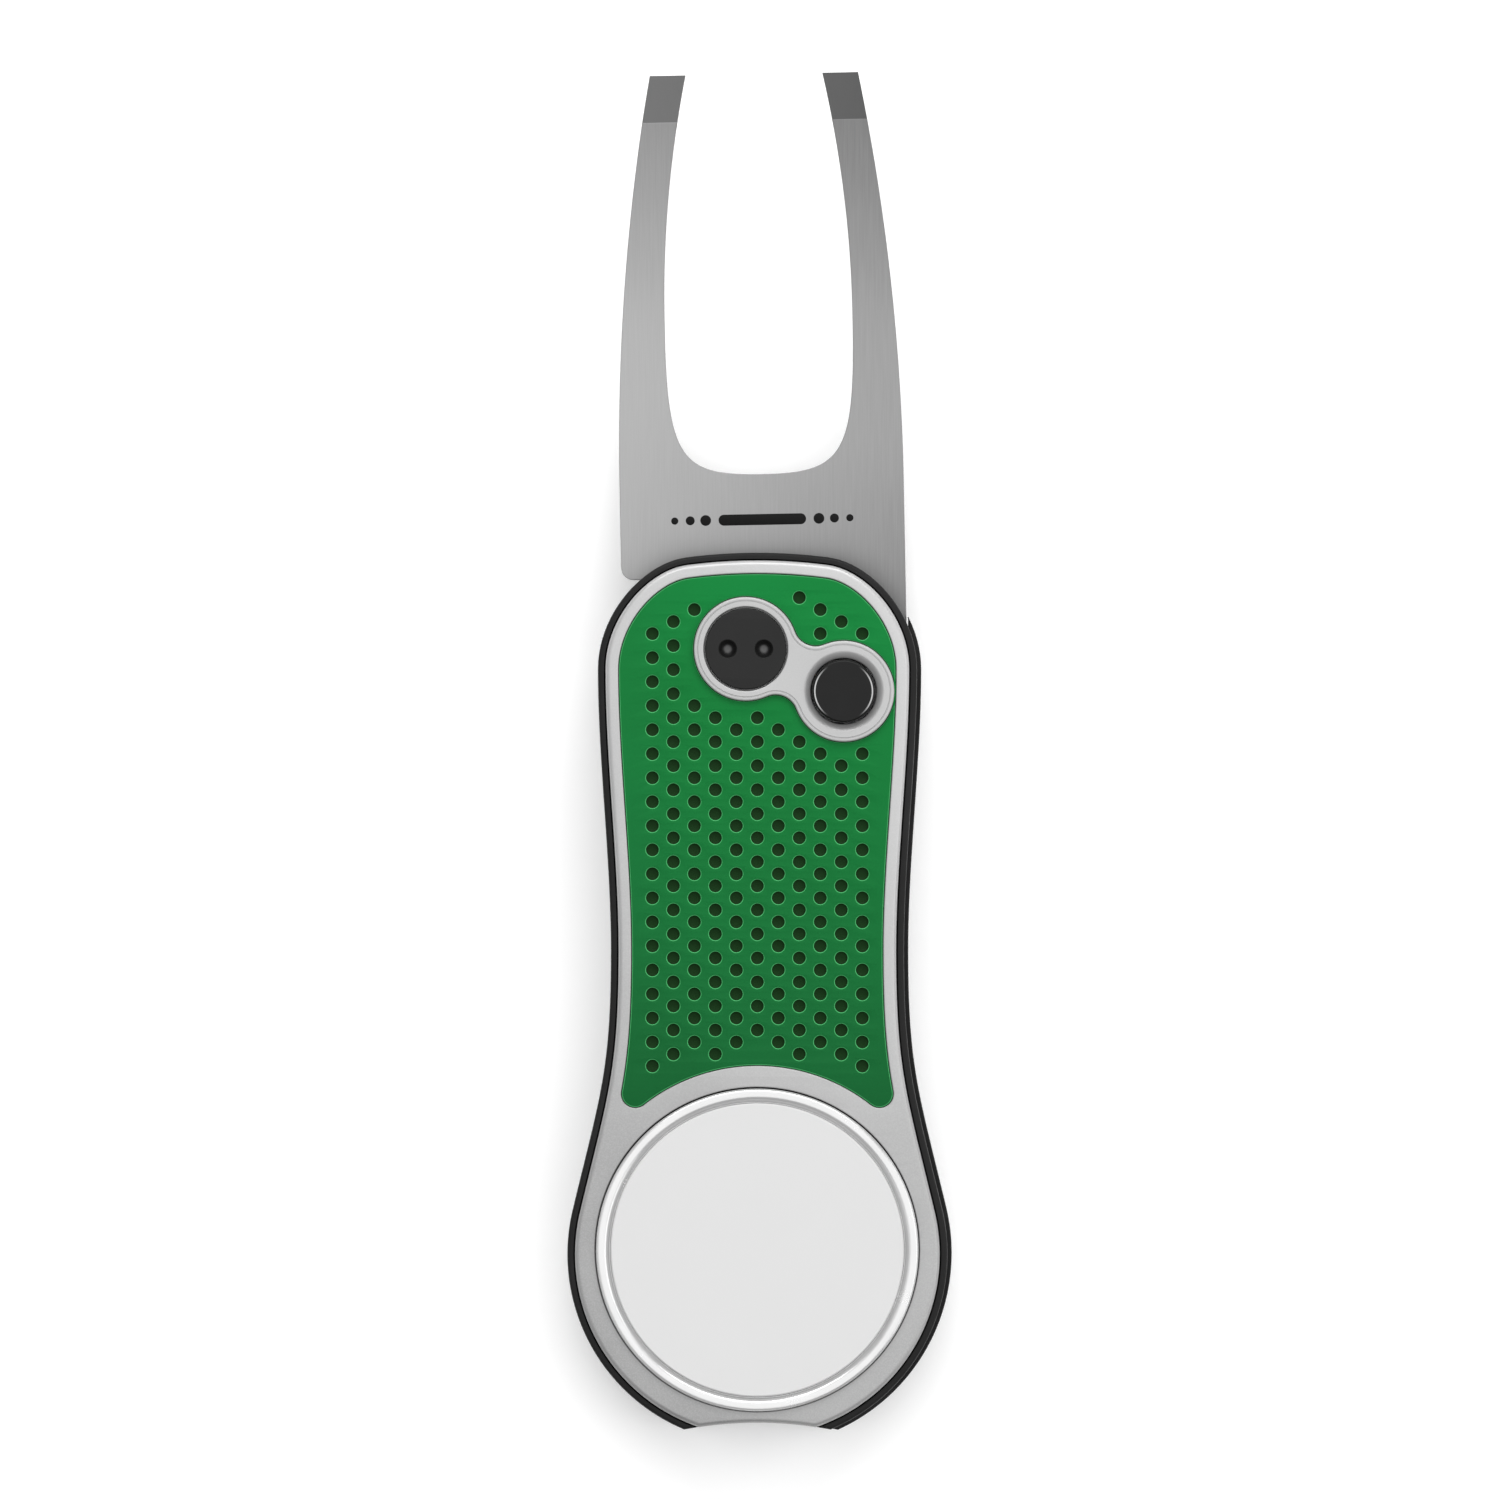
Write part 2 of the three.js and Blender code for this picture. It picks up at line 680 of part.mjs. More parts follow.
function buttonClip() {
  const inner = stemRadius - clipGroove + 0.05;
  return ring(origin, inner, clipRadius, clipBottom, clipTop, 32)
    .subtract(box(-inner * 0.8, inner * 0.8, 0, 5, clipBottom - 1, clipTop + 1));
}

function stemGuide() {
  return ring(button, stemRadius + looseGap, guideRadius, backDepth - guideThick, backDepth);
}

function buttonSpring() {
  const radius = stemRadius + 0.25 + buttonWire / 2;
  const margin = buttonWire / 2 + 0.05;
  const path = new Helix(radius, buttonCoils, springFloor + margin, clipBottom - margin);
  return wire(path, buttonWire, 44).translate([button.x, button.y, 0]);
}

// ---- Ball marker -----------------------------------------------------------------------------

const markerBottom = trayFloor + markerLift;
const markerTop = frameTop + markerProud;
const faceRadius = markerRadius - markerRingWidth - markerGroove;
const faceTop = markerTop - markerFaceSunk;
const faceFloor = faceTop - markerFaceThick;

function markerTray() {
  const ringInner = markerRadius - markerRingWidth;
  const grooveFloor = markerTop - markerGrooveDepth;
  return turned(origin, [
    [0, markerBottom], [markerRadius - 0.3, markerBottom], [markerRadius, markerBottom + 0.3],
    [markerRadius, markerTop - 0.2], [markerRadius - 0.2, markerTop], [ringInner, markerTop],
    [ringInner, grooveFloor], [faceRadius + 0.06, grooveFloor],
    [faceRadius + 0.06, faceFloor], [0, faceFloor],
  ], 48);
}

function markerFace() {
  return turned(origin, [
    [0, faceFloor], [faceRadius, faceFloor], [faceRadius, faceTop], [0, faceTop],
  ], 48);
}

// ---- Pencil sharpener ------------------------------------------------------------------------

const bladeSlope = Math.tan(coneAngle);

// Height of the cone's lowest line above a place along the tool.
function coneFloor(y) {
  return coneZ - mouthRadius + (y - mouthY) * bladeSlope;
}

function sharpenerBlock() {
  const from = mouthY - 3;
  const to = sharpenerEndY + 1;
  const radiusAt = (y) => mouthRadius - (y - mouthY) * bladeSlope;
  const cone = new THREE.CylinderGeometry(radiusAt(to), radiusAt(from), to - from, 40);
  const low = mouthY + bladeInset;
  const high = low + bladeLength;
  const recess = new THREE.Shape([
    new THREE.Vector2(low, -1),
    new THREE.Vector2(high, -1),
    new THREE.Vector2(high, coneFloor(high) + bladeBite),
    new THREE.Vector2(low, coneFloor(low) + bladeBite),
  ]);
  const width = shavingsHalf + bladeWidth + 0.4;
  const pocket = new THREE.ExtrudeGeometry(recess, { depth: width, bevelEnabled: false });
  pocket.rotateX(Math.PI / 2).rotateZ(Math.PI / 2).translate(-shavingsHalf, 0, 0);
  return box(-sharpenerHalf, sharpenerHalf, mouthY - 5, sharpenerEndY, sharpenerBottom, blockTop)
    .subtract(solid(cone.translate(0, (from + to) / 2, coneZ)))
    .subtract(solid(pocket))
    .subtract(solid(bladeScrewGeometry(bladeScrewRadius + 0.1, -1, bladeScrewLength + 0.3)))
    .subtract(notch);
}

// A pin square to the blade, at the blade's screw.
function bladeScrewGeometry(radius, from, to) {
  const geometry = new THREE.CylinderGeometry(radius, radius, to - from, 20);
  geometry.rotateX(Math.PI / 2).translate(bladeScrewX, 0, (from + to) / 2);
  return geometry.rotateX(coneAngle).translate(0, bladeY, bladeZ);
}

const bladeY = mouthY + bladeInset + bladeLength * 0.62;
const bladeZ = coneFloor(bladeY) + bladeBite - bladeGap;

function bladeSolid() {
  const low = (mouthY + bladeInset + 0.3 - bladeY) / Math.cos(coneAngle);
  const high = (mouthY + bladeInset + bladeLength - 0.3 - bladeY) / Math.cos(coneAngle);
  const outline = [[0.1, low], [bladeWidth, low + 0.5], [bladeWidth, high - 0.5], [0.1, high]];
  return prism(outline.map(([x, y]) => new THREE.Vector2(x, y)), -bladeThick, 0)
    .subtract(cylinder(new THREE.Vector2(bladeScrewX, 0), bladeScrewRadius + 0.1, -5, 5, 20));
}

function bladeScrew() {
  const head = -bladeThick - bladeScrewHeadThick;
  return turned(new THREE.Vector2(bladeScrewX, 0), [
    [0, head], [bladeScrewHead - 0.2, head], [bladeScrewHead, head + 0.2],
    [bladeScrewHead, -bladeThick], [bladeScrewRadius, -bladeThick],
    [bladeScrewRadius, bladeScrewLength], [0, bladeScrewLength],
  ], 24).subtract(box(bladeScrewX - 2, bladeScrewX + 2, -0.2, 0.2, head - 1, head + 0.25));
}

// ---- Casing screws and back pad --------------------------------------------------------------

function casingScrew(place) {
  const seat = screwHeadSunk + screwHeadThick;
  const slot = 0.25;
  return turned(place, [
    [0, screwHeadSunk], [screwHeadRadius, screwHeadSunk], [screwHeadRadius, seat],
    [screwRadius, seat], [screwRadius, screwHeadSunk + screwLength - 0.6],
    [0, screwHeadSunk + screwLength],
  ], 24)
    .subtract(box(place.x - 1, place.x + 1, place.y - slot, place.y + slot, 0, screwHeadSunk + 0.4))
    .subtract(box(place.x - slot, place.x + slot, place.y - 1, place.y + 1, 0, screwHeadSunk + 0.4));
}

function backGrip() {
  return prism(backPadOutline(0), backPadSunk, backPadDepth);
}

// ---- Assembly --------------------------------------------------------------------------------

const finishes = {
  casing: { color: 0x1f1f1f, roughness: 0.55, metalness: 0 },
  satin: { color: 0xc8c9c8, roughness: 0.35, metalness: 0.9 },
  steel: { color: 0xaeaeae, roughness: 0.3, metalness: 1 },
  grip: { color: 0x1a7339, roughness: 0.75, metalness: 0 },
  cap: { color: 0x343434, roughness: 0.45, metalness: 0.2 },
  gloss: { color: 0x1a1a1a, roughness: 0.15, metalness: 0 },
  chrome: { color: 0xe6e6e6, roughness: 0.12, metalness: 1 },
  enamel: { color: 0xe4e4e4, roughness: 0.3, metalness: 0 },
  brass: { color: 0xb08d4a, roughness: 0.35, metalness: 1 },
  nylon: { color: 0xd8d4c8, roughness: 0.6, metalness: 0 },
};

function piece(name, manifold, finish) {
  const mesh = new THREE.Mesh(toGeometry(manifold), new THREE.MeshStandardMaterial(finishes[finish]));
  mesh.name = name;
  return mesh;
}

const group = new THREE.Group();
group.add(
  piece('front_casing', frontCasing(), 'casing'),
  piece('back_casing', backCasing(), 'casing'),
  piece('spine_spacer', spineSpacer(), 'casing'),
  piece('toe_spacer', toeSpacer(), 'casing'),
  piece('front_frame', frontFrame(), 'satin'),
  piece('front_grip', frontGrip(), 'grip'),
  piece('back_grip', backGrip(), 'grip'),
  piece('control_bezel', controlBezel(), 'satin'),
  piece('pivot_cap', pivotCap(), 'cap'),
  piece('pivot_nut', pivotNut(), 'steel'),
  piece('pivot_bush', pivotBush(), 'brass'),
  piece('fork_washer', backWasher(), 'nylon'),
  piece('thrust_ring', thrustRing(), 'nylon'),
  piece('return_spring', returnSpring(), 'steel'),
  piece('stem_guide', stemGuide(), 'steel'),
  piece('button_spring', buttonSpring(), 'steel'),
  piece('marker_magnet', markerMagnet(), 'steel'),
  piece('sharpener_block', sharpenerBlock(), 'satin'),
);
screwPlaces.forEach((place, i) => {
  group.add(piece(`casing_screw_${i + 1}`, casingScrew(place), 'steel'));
});

const forkGroup = new THREE.Group();
forkGroup.position.set(pivot.x, pivot.y, 0);
forkGroup.add(piece('fork', fork(), 'steel'));

const buttonGroup = new THREE.Group();
buttonGroup.position.set(button.x, button.y, 0);
buttonGroup.add(
  piece('release_button', buttonCap(), 'gloss'),
  piece('lock_stem', lockStem(), 'steel'),
  piece('button_clip', buttonClip(), 'steel'),
);

const markerGroup = new THREE.Group();
markerGroup.add(
  piece('marker_tray', markerTray(), 'chrome'),
  piece('marker_face', markerFace(), 'enamel'),
);

const bladeGroup = new THREE.Group();
bladeGroup.position.set(0, bladeY, bladeZ);
bladeGroup.rotation.x = coneAngle;
bladeGroup.add(
  piece('sharpener_blade', bladeSolid(), 'steel'),
  piece('blade_screw', bladeScrew(), 'brass'),
);

group.add(forkGroup, buttonGroup, markerGroup, bladeGroup);

export default group;
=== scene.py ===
import json
import math

import bmesh
import bpy
from mathutils import Matrix, Vector
from mathutils.geometry import tessellate_polygon


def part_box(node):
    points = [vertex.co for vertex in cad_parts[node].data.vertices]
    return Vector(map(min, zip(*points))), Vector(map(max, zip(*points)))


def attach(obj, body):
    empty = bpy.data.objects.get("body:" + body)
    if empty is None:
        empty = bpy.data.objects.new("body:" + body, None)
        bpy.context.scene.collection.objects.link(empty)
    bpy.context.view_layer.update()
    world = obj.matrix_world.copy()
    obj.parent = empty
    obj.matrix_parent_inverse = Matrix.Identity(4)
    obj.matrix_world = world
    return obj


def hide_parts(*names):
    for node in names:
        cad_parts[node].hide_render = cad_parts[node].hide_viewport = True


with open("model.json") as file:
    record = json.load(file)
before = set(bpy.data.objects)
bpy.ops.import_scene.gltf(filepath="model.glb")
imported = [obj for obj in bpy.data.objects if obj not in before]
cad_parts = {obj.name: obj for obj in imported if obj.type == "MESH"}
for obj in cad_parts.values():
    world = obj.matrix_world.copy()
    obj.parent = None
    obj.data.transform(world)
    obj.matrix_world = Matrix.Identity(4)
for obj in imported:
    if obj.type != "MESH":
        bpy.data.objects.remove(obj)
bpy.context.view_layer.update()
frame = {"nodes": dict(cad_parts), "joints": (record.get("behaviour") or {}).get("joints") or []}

# A folding divot tool. Outlines and heights are worked out in millimetres, and a mesh is made in metres.
MM = 0.001


def box_mm(node):
    low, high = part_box(node)
    return low / MM, high / MM


def middle_mm(node):
    low, high = box_mm(node)
    return (low + high) / 2


# ---- Places taken from the frame -------------------------------------------------------------

FRAME_LOW, FRAME_HIGH = box_mm("front_frame")
TRAY_FLOOR = FRAME_LOW.z
FRAME_TOP = FRAME_HIGH.z
BEZEL_TOP = box_mm("control_bezel")[1].z
GRIP_TOP = box_mm("front_grip")[1].z
SPINE_LOW, SPINE_HIGH = box_mm("spine_spacer")
SLOT_LOW, SLOT_HIGH = SPINE_LOW.z, SPINE_HIGH.z
CASING_HIGH = box_mm("front_casing")[1]
CASING_TOP = CASING_HIGH.z
FORK_LOW, FORK_TOP = box_mm("fork")[0].z, box_mm("fork")[1].z
BACK_TOP = box_mm("back_casing")[1].z
CROWN_Y = FRAME_HIGH.y
PIVOT = Vector(frame["joints"][0]["pos_m"]).to_2d() / MM
BUTTON = middle_mm("release_button").to_2d()
MARKER = Vector((0, 0))
MARKER_RADIUS = box_mm("marker_tray")[1].x
FACE_RADIUS = box_mm("marker_face")[1].x
SCREWS = [middle_mm(f"casing_screw_{i}").to_2d() for i in (1, 2)]

# ---- Sizes of the outlines -------------------------------------------------------------------

END_CENTRE = Vector((0, -0.35))
END_RADIUS = FRAME_HIGH.x
FLARE_ANGLE = math.radians(13.5)
WAIST = Vector((10.75, 23.2))
LOBE = Vector((11.76, CROWN_Y - 8.4))
CROWN_HALF = 5.42
CROWN_RADIUS = 42
NOTCH_RADIUS = 30
NOTCH_Y = END_CENTRE.y - END_RADIUS + 1.08 - NOTCH_RADIUS
CASING_BAND = CASING_HIGH.x - FRAME_HIGH.x
SPINE_PROUD = SPINE_HIGH.x - CASING_HIGH.x
FRAME_RIM = 1.0
COLLAR = 1.75
PAD_LOBE = 1.1
CAP_LOBE = 4.03
BUTTON_LOBE = 3.92
NECK_FILLET = 1.72
CAP_RADIUS = 3.14
BUTTON_RADIUS = 2.46
DIMPLE_RADIUS = 0.5
DIMPLE_PITCH = Vector((1.625, 1.86))


# ---- Outlines --------------------------------------------------------------------------------

def polar(centre, radius, angle):
    return Vector((centre[0] + radius * math.cos(angle), centre[1] + radius * math.sin(angle)))


def arc(centre, radius, start, end, steps):
    """Points along an arc, both ends included."""
    return [polar(centre, radius, start + (end - start) * i / steps) for i in range(steps + 1)]


def circle(centre, radius, steps=48):
    return arc(centre, radius, 0, 2 * math.pi, steps)[:-1]


def bezier(a, b, c, d):
    def point(t):
        s = 1 - t
        return a * s**3 + b * (3 * s * s * t) + c * (3 * s * t * t) + d * t**3
    return point


def beside(curve, t, grow):
    """A point at a distance to the right of a curve that runs upwards."""
    step = 1e-4
    along = (curve(min(1, t + step)) - curve(max(0, t - step))).normalized()
    return curve(t) + grow * Vector((along.y, -along.x))


def side_curves():
    start = polar(END_CENTRE, END_RADIUS, FLARE_ANGLE)
    reach = 0.46 * (WAIST.y - start.y)
    rise = 0.32 * (LOBE.y - WAIST.y)
    lean = Vector((-math.sin(FLARE_ANGLE), math.cos(FLARE_ANGLE)))
    shoulder_end = Vector((CROWN_HALF, CROWN_Y - CROWN_HALF**2 / (2 * CROWN_RADIUS)))
    crown_centre = Vector((0, CROWN_Y - CROWN_RADIUS))
    crown_angle = math.asin(CROWN_HALF / CROWN_RADIUS)
    return [
        (bezier(start, start + lean * reach, WAIST - Vector((0, reach)), WAIST), 26),
        (bezier(WAIST, WAIST + Vector((0, rise)), LOBE - Vector((0, rise)), LOBE), 22),
        (bezier(LOBE, LOBE + Vector((0, 4.03)), shoulder_end + Vector((3, -0.387)), shoulder_end), 22),
        (lambda t: polar(crown_centre, CROWN_RADIUS, math.pi / 2 - crown_angle * (1 - t)), 8),
    ]


SIDES = side_curves()


def side_points(grow, flare_from=0.0):
    """The right-hand edge from the flare up to the crown."""
    points = []
    for place, (curve, steps) in enumerate(SIDES):
        start = flare_from if place == 0 else 0.0
        points += [beside(curve, start + (1 - start) * i / steps, grow) for i in range(steps)]
    return points


def with_mirror(first, right, last):
    return [first, *right, last, *[Vector((-p.x, p.y)) for p in reversed(right)]]


def body_outline(grow):
    """The body's outline with the hollow end cut in it, grown outwards."""
    radius = END_RADIUS + grow
    rise = END_CENTRE.y - NOTCH_Y
    foot_y = (rise**2 + NOTCH_RADIUS**2 - radius**2) / (2 * rise)
    foot = math.acos(foot_y / NOTCH_RADIUS)
    foot_x = NOTCH_RADIUS * math.sin(foot)
    start = math.atan2(foot_y - rise, foot_x)
    hollow = arc((0, NOTCH_Y), NOTCH_RADIUS, math.pi / 2, math.pi / 2 - foot, 10)
    end = arc(END_CENTRE, radius, start, FLARE_ANGLE, 44)[1:-1]
    return with_mirror(hollow[0], hollow[1:] + end + side_points(grow), Vector((0, CROWN_Y + grow)))


def grip_outline(grow):
    """The front grip: inside the body's outline, hollowed round the marker's collar."""
    lobe_reach = MARKER_RADIUS + COLLAR + PAD_LOBE
    low, high = 0.0, 1.0
    for _ in range(30):
        middle = (low + high) / 2
        if beside(SIDES[0][0], middle, -FRAME_RIM - PAD_LOBE).length < lobe_reach:
            low = middle
        else:
            high = middle
    centre = beside(SIDES[0][0], low, -FRAME_RIM - PAD_LOBE)
    touch = beside(SIDES[0][0], low, -FRAME_RIM) - centre
    bearing = math.atan2(centre.y, centre.x)
    collar = arc((0, 0), MARKER_RADIUS + COLLAR - grow, math.pi / 2, bearing, 40)
    lobe = arc(centre, PAD_LOBE + grow, bearing - math.pi, math.atan2(touch.y, touch.x), 18)
    right = collar[1:-1] + lobe[:-1] + side_points(grow - FRAME_RIM, low)
    return with_mirror(collar[0], right, Vector((0, CROWN_Y - FRAME_RIM + grow)))


def bezel_outline(grow):
    """Two round lobes joined by a narrow neck, round the pivot cap and the button."""
    span = (BUTTON - PIVOT).length
    reach_a, reach_b = CAP_LOBE + NECK_FILLET, BUTTON_LOBE + NECK_FILLET
    along = (span**2 + reach_a**2 - reach_b**2) / (2 * span)
    across = math.sqrt(reach_a**2 - along**2)
    turn_a, turn_b = math.atan2(across, along), math.atan2(across, span - along)
    fillet = NECK_FILLET - grow
    points = (
        arc((0, 0), CAP_LOBE + grow, turn_a, 2 * math.pi - turn_a, 64)[1:]
        + arc((along, -across), fillet, math.pi - turn_a, turn_b, 12)[1:]
        + arc((span, 0), BUTTON_LOBE + grow, turn_b - math.pi, math.pi - turn_b, 64)[1:]
        + arc((along, across), fillet, -turn_b, turn_a - math.pi, 12)[1:]
    )
    tilt = Matrix.Rotation(math.atan2(*(BUTTON - PIVOT).yx), 2)
    return [tilt @ p + PIVOT for p in points]


def rounded_box(low, high, radius, steps=8):
    """A rectangle with round corners."""
    corners = [(high[0], high[1], 0), (low[0], high[1], 1), (low[0], low[1], 2), (high[0], low[1], 3)]
    points = []
    for x, y, quarter in corners:
        inward = Vector((-radius if x == high[0] else radius, -radius if y == high[1] else radius))
        start = quarter * math.pi / 2
        points += arc(Vector((x, y)) + inward, radius, start, start + math.pi / 2, steps)
    return points


def offset(points, grow):
    """A closed outline, anticlockwise, moved outwards, with mitred corners."""
    moved = []
    for i, point in enumerate(points):
        before = (point - points[i - 1]).normalized()
        after = (points[(i + 1) % len(points)] - point).normalized()
        across = Vector((before.y + after.y, -before.x - after.x)).normalized()
        lean = max(0.35, across.x * after.y - across.y * after.x)
        moved.append(point + across * (grow / lean))
    return moved


# ---- Meshes ----------------------------------------------------------------------------------

def rounding(flat, wall, radius, steps=4):
    """Rows (distance, height) from a flat at one height round an edge to the wall below or above it."""
    turn = math.copysign(1, wall - flat)
    rows = []
    for i in range(steps + 1):
        angle = math.pi / 2 * i / steps
        rows.append((radius * (1 - math.sin(angle)), flat + turn * radius * (1 - math.cos(angle))))
    return rows


class Moulding:
    """A flat piece between two faces: walls follow outlines, and the flats are filled at the end."""

    def __init__(self, outline, low, high, edge_low=0.1, edge_high=0.1, steps=4):
        self.points, self.faces = [], []
        self.low, self.high = low, high
        rows = [(-d, z) for d, z in rounding(high, low, edge_high, steps)]
        rows += [(-d, z) for d, z in reversed(rounding(low, high, edge_low, steps))]
        top, bottom = self.wall(outline, rows)
        self.flats = {"top": [top], "bottom": [bottom]}

    def ring(self, points, height):
        start = len(self.points)
        self.points += [Vector((p[0], p[1], height)) for p in points]
        return list(range(start, len(self.points)))

    def strip(self, upper, lower):
        """Faces between two rings with the same number of points."""
        for i in range(len(upper)):
            self.faces.append((upper[i - 1], upper[i], lower[i], lower[i - 1]))

    def wall(self, outline, rows):
        """Rings of the outline, each moved and at a height, joined by strips."""
        rings = [self.ring(offset(outline, move) if move else outline, z) for move, z in rows]
        for upper, lower in zip(rings, rings[1:]):
            self.strip(upper, lower)
        return rings[0], rings[-1]

    def round_wall(self, centre, rows, steps):
        """Rings round a centre, from rows of radius and height, joined by strips."""
        rings = [self.ring(circle(centre, radius, steps), z) for radius, z in rows]
        for upper, lower in zip(rings, rings[1:]):
            self.strip(upper, lower)
        return rings[0], rings[-1]

    def flat(self, outer, holes=()):
        loops = [outer, *holes]
        order = [i for loop in loops for i in loop]
        plan = [[self.points[i].to_2d().to_3d() for i in loop] for loop in loops]
        self.faces += [tuple(order[i] for i in triangle) for triangle in tessellate_polygon(plan)]

    def through(self, outline, round_low=0.05, round_high=0.05):
        rows = rounding(self.high, self.low, round_high)
        rows += list(reversed(rounding(self.low, self.high, round_low)))
        top, bottom = self.wall(outline, rows)
        self.flats["top"].append(top)
        self.flats["bottom"].append(bottom)

    def pocket(self, outline, floor, edge=0.05, side="top", drills=()):
        """A hollow from one face to a floor. A drill goes on to its own depth, or right through for None."""
        face, far = (self.high, self.low) if side == "top" else (self.low, self.high)
        lip, bottom = self.wall(outline, [*rounding(face, floor, edge), (0, floor)])
        self.flats[side].append(lip)
        mouths = []
        for drill, depth in drills:
            mouth, end = self.wall(drill, [(0, floor), (0, far if depth is None else depth)])
            mouths.append(mouth)
            if depth is None:
                self.flats["bottom" if side == "top" else "top"].append(end)
            else:
                self.flat(end)
        self.flat(bottom, mouths)

    def groove(self, outline, rows):
        """A line cut into the top face beside its outer edge."""
        rings = [self.flats["top"][0], *(self.ring(offset(outline, move), z) for move, z in rows)]
        for outer, inner in zip(rings, rings[1:]):
            self.strip(inner, outer)
        self.flats["top"][0] = rings[-1]

    def bowl(self, centre, rows, side="top", steps=20):
        """A round hollow or boss from rows of radius and height, closed at its middle."""
        mouth, floor = self.round_wall(centre, rows, steps)
        self.flats[side].append(mouth)
        self.flat(floor)

    def bore(self, centre, rows, steps):
        """A round hole right through, from rows of radius and height."""
        top, bottom = self.round_wall(centre, rows, steps)
        self.flats["top"].append(top)
        self.flats["bottom"].append(bottom)

    def close(self):
        for loops in self.flats.values():
            self.flat(loops[0], loops[1:])
        return self.points, self.faces


def turned(centre, profile, steps=72):
    """Points and faces of a lathe piece: rows of radius and height that start and end on the axis."""
    points, faces, rings = [], [], []
    for radius, z in profile:
        ring = circle(centre, radius, steps) if radius > 1e-6 else [Vector(centre)]
        rings.append(list(range(len(points), len(points) + len(ring))))
        points += [Vector((p[0], p[1], z)) for p in ring]
    for upper, lower in zip(rings, rings[1:]):
        for i in range(steps):
            quad = (upper[i % len(upper)], upper[i - 1 if len(upper) > 1 else 0],
                    lower[i - 1 if len(lower) > 1 else 0], lower[i % len(lower)])
            faces.append(tuple(dict.fromkeys(quad)))
    return points, faces


def soft_corner(corner, before, after, radius, steps=6):
    """Rows that round a corner of a profile."""
    corner, before, after = Vector(corner), Vector(before), Vector(after)
    start = corner + (before - corner).normalized() * radius
    end = corner + (after - corner).normalized() * radius
    rows = []
    for i in range(steps + 1):
        t = i / steps
        rows.append(tuple(start * (1 - t) ** 2 + corner * (2 * t * (1 - t)) + end * t * t))
    return rows


def softened(profile, radii):
    """A profile whose inner corners are rounded, each by its own radius."""
    rows = [profile[0]]
    for i, radius in enumerate(radii, start=1):
        if radius:
            rows += soft_corner(profile[i], profile[i - 1], profile[i + 1], radius)
        else:
            rows.append(profile[i])
    return [*rows, profile[-1]]


STRONG, WEAK = 16384, -16384     # the levels that the weighted normals know
FLAT_ENOUGH = 0.9999             # how far a face's normal points along Z
BROAD_FACE = 1e-6                # square metres


def make(name, points, faces, body, slot, material, replaces=(), crease=35):
    """A piece of the tool, in metres, with flat faces kept flat and edges over an angle kept sharp."""
    mesh = bpy.data.meshes.new(name)
    mesh.from_pydata([tuple(p * MM) for p in points], [], faces)
    work = bmesh.new()
    work.from_mesh(mesh)
    bmesh.ops.remove_doubles(work, verts=work.verts, dist=1e-7)
    bmesh.ops.recalc_face_normals(work, faces=work.faces)
    work.normal_update()
    leading = work.faces.layers.int.new("__mod_weightednormals_faceweight")
    for face in work.faces:
        leads = abs(face.normal.z) > FLAT_ENOUGH or face.calc_area() > BROAD_FACE
        face[leading] = STRONG if leads else WEAK
    work.to_mesh(mesh)
    work.free()
    mesh.shade_smooth()
    mesh.set_sharp_from_angle(angle=math.radians(crease))
    mesh.materials.append(material)
    piece = bpy.data.objects.new(name, mesh)
    bpy.context.scene.collection.objects.link(piece)
    weigh = piece.modifiers.new("flat faces stay flat", "WEIGHTED_NORMAL")
    weigh.keep_sharp = True
    weigh.use_face_influence = True
    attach(piece, body)
    if replaces:
        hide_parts(*replaces)
    return piece


# ---- Shader values ---------------------------------------------------------------------------

class Value:
    """A number that a shader works out, written with ordinary operators."""

    def __init__(self, finish, socket):
        self.finish, self.socket = finish, socket

    def sum(self, operation, first, second):
        return self.finish.node("ShaderNodeMath", {"operation": operation}, {0: first, 1: second})

    def __add__(self, other):
        return self.sum("ADD", self, other)

    def __radd__(self, other):
        return self.sum("ADD", other, self)

    def __sub__(self, other):
        return self.sum("SUBTRACT", self, other)

    def __rsub__(self, other):
        return self.sum("SUBTRACT", other, self)

    def __mul__(self, other):
        return self.sum("MULTIPLY", self, other)

    def __rmul__(self, other):
        return self.sum("MULTIPLY", other, self)

    def __truediv__(self, other):
        return self.sum("DIVIDE", self, other)

    def over(self, low, high):
        """0 below low, 1 above high, and smooth between."""
        return self.finish.node(
            "ShaderNodeMapRange", {"interpolation_type": "SMOOTHSTEP"},
            {"Value": self, "From Min": low, "From Max": high},
        )


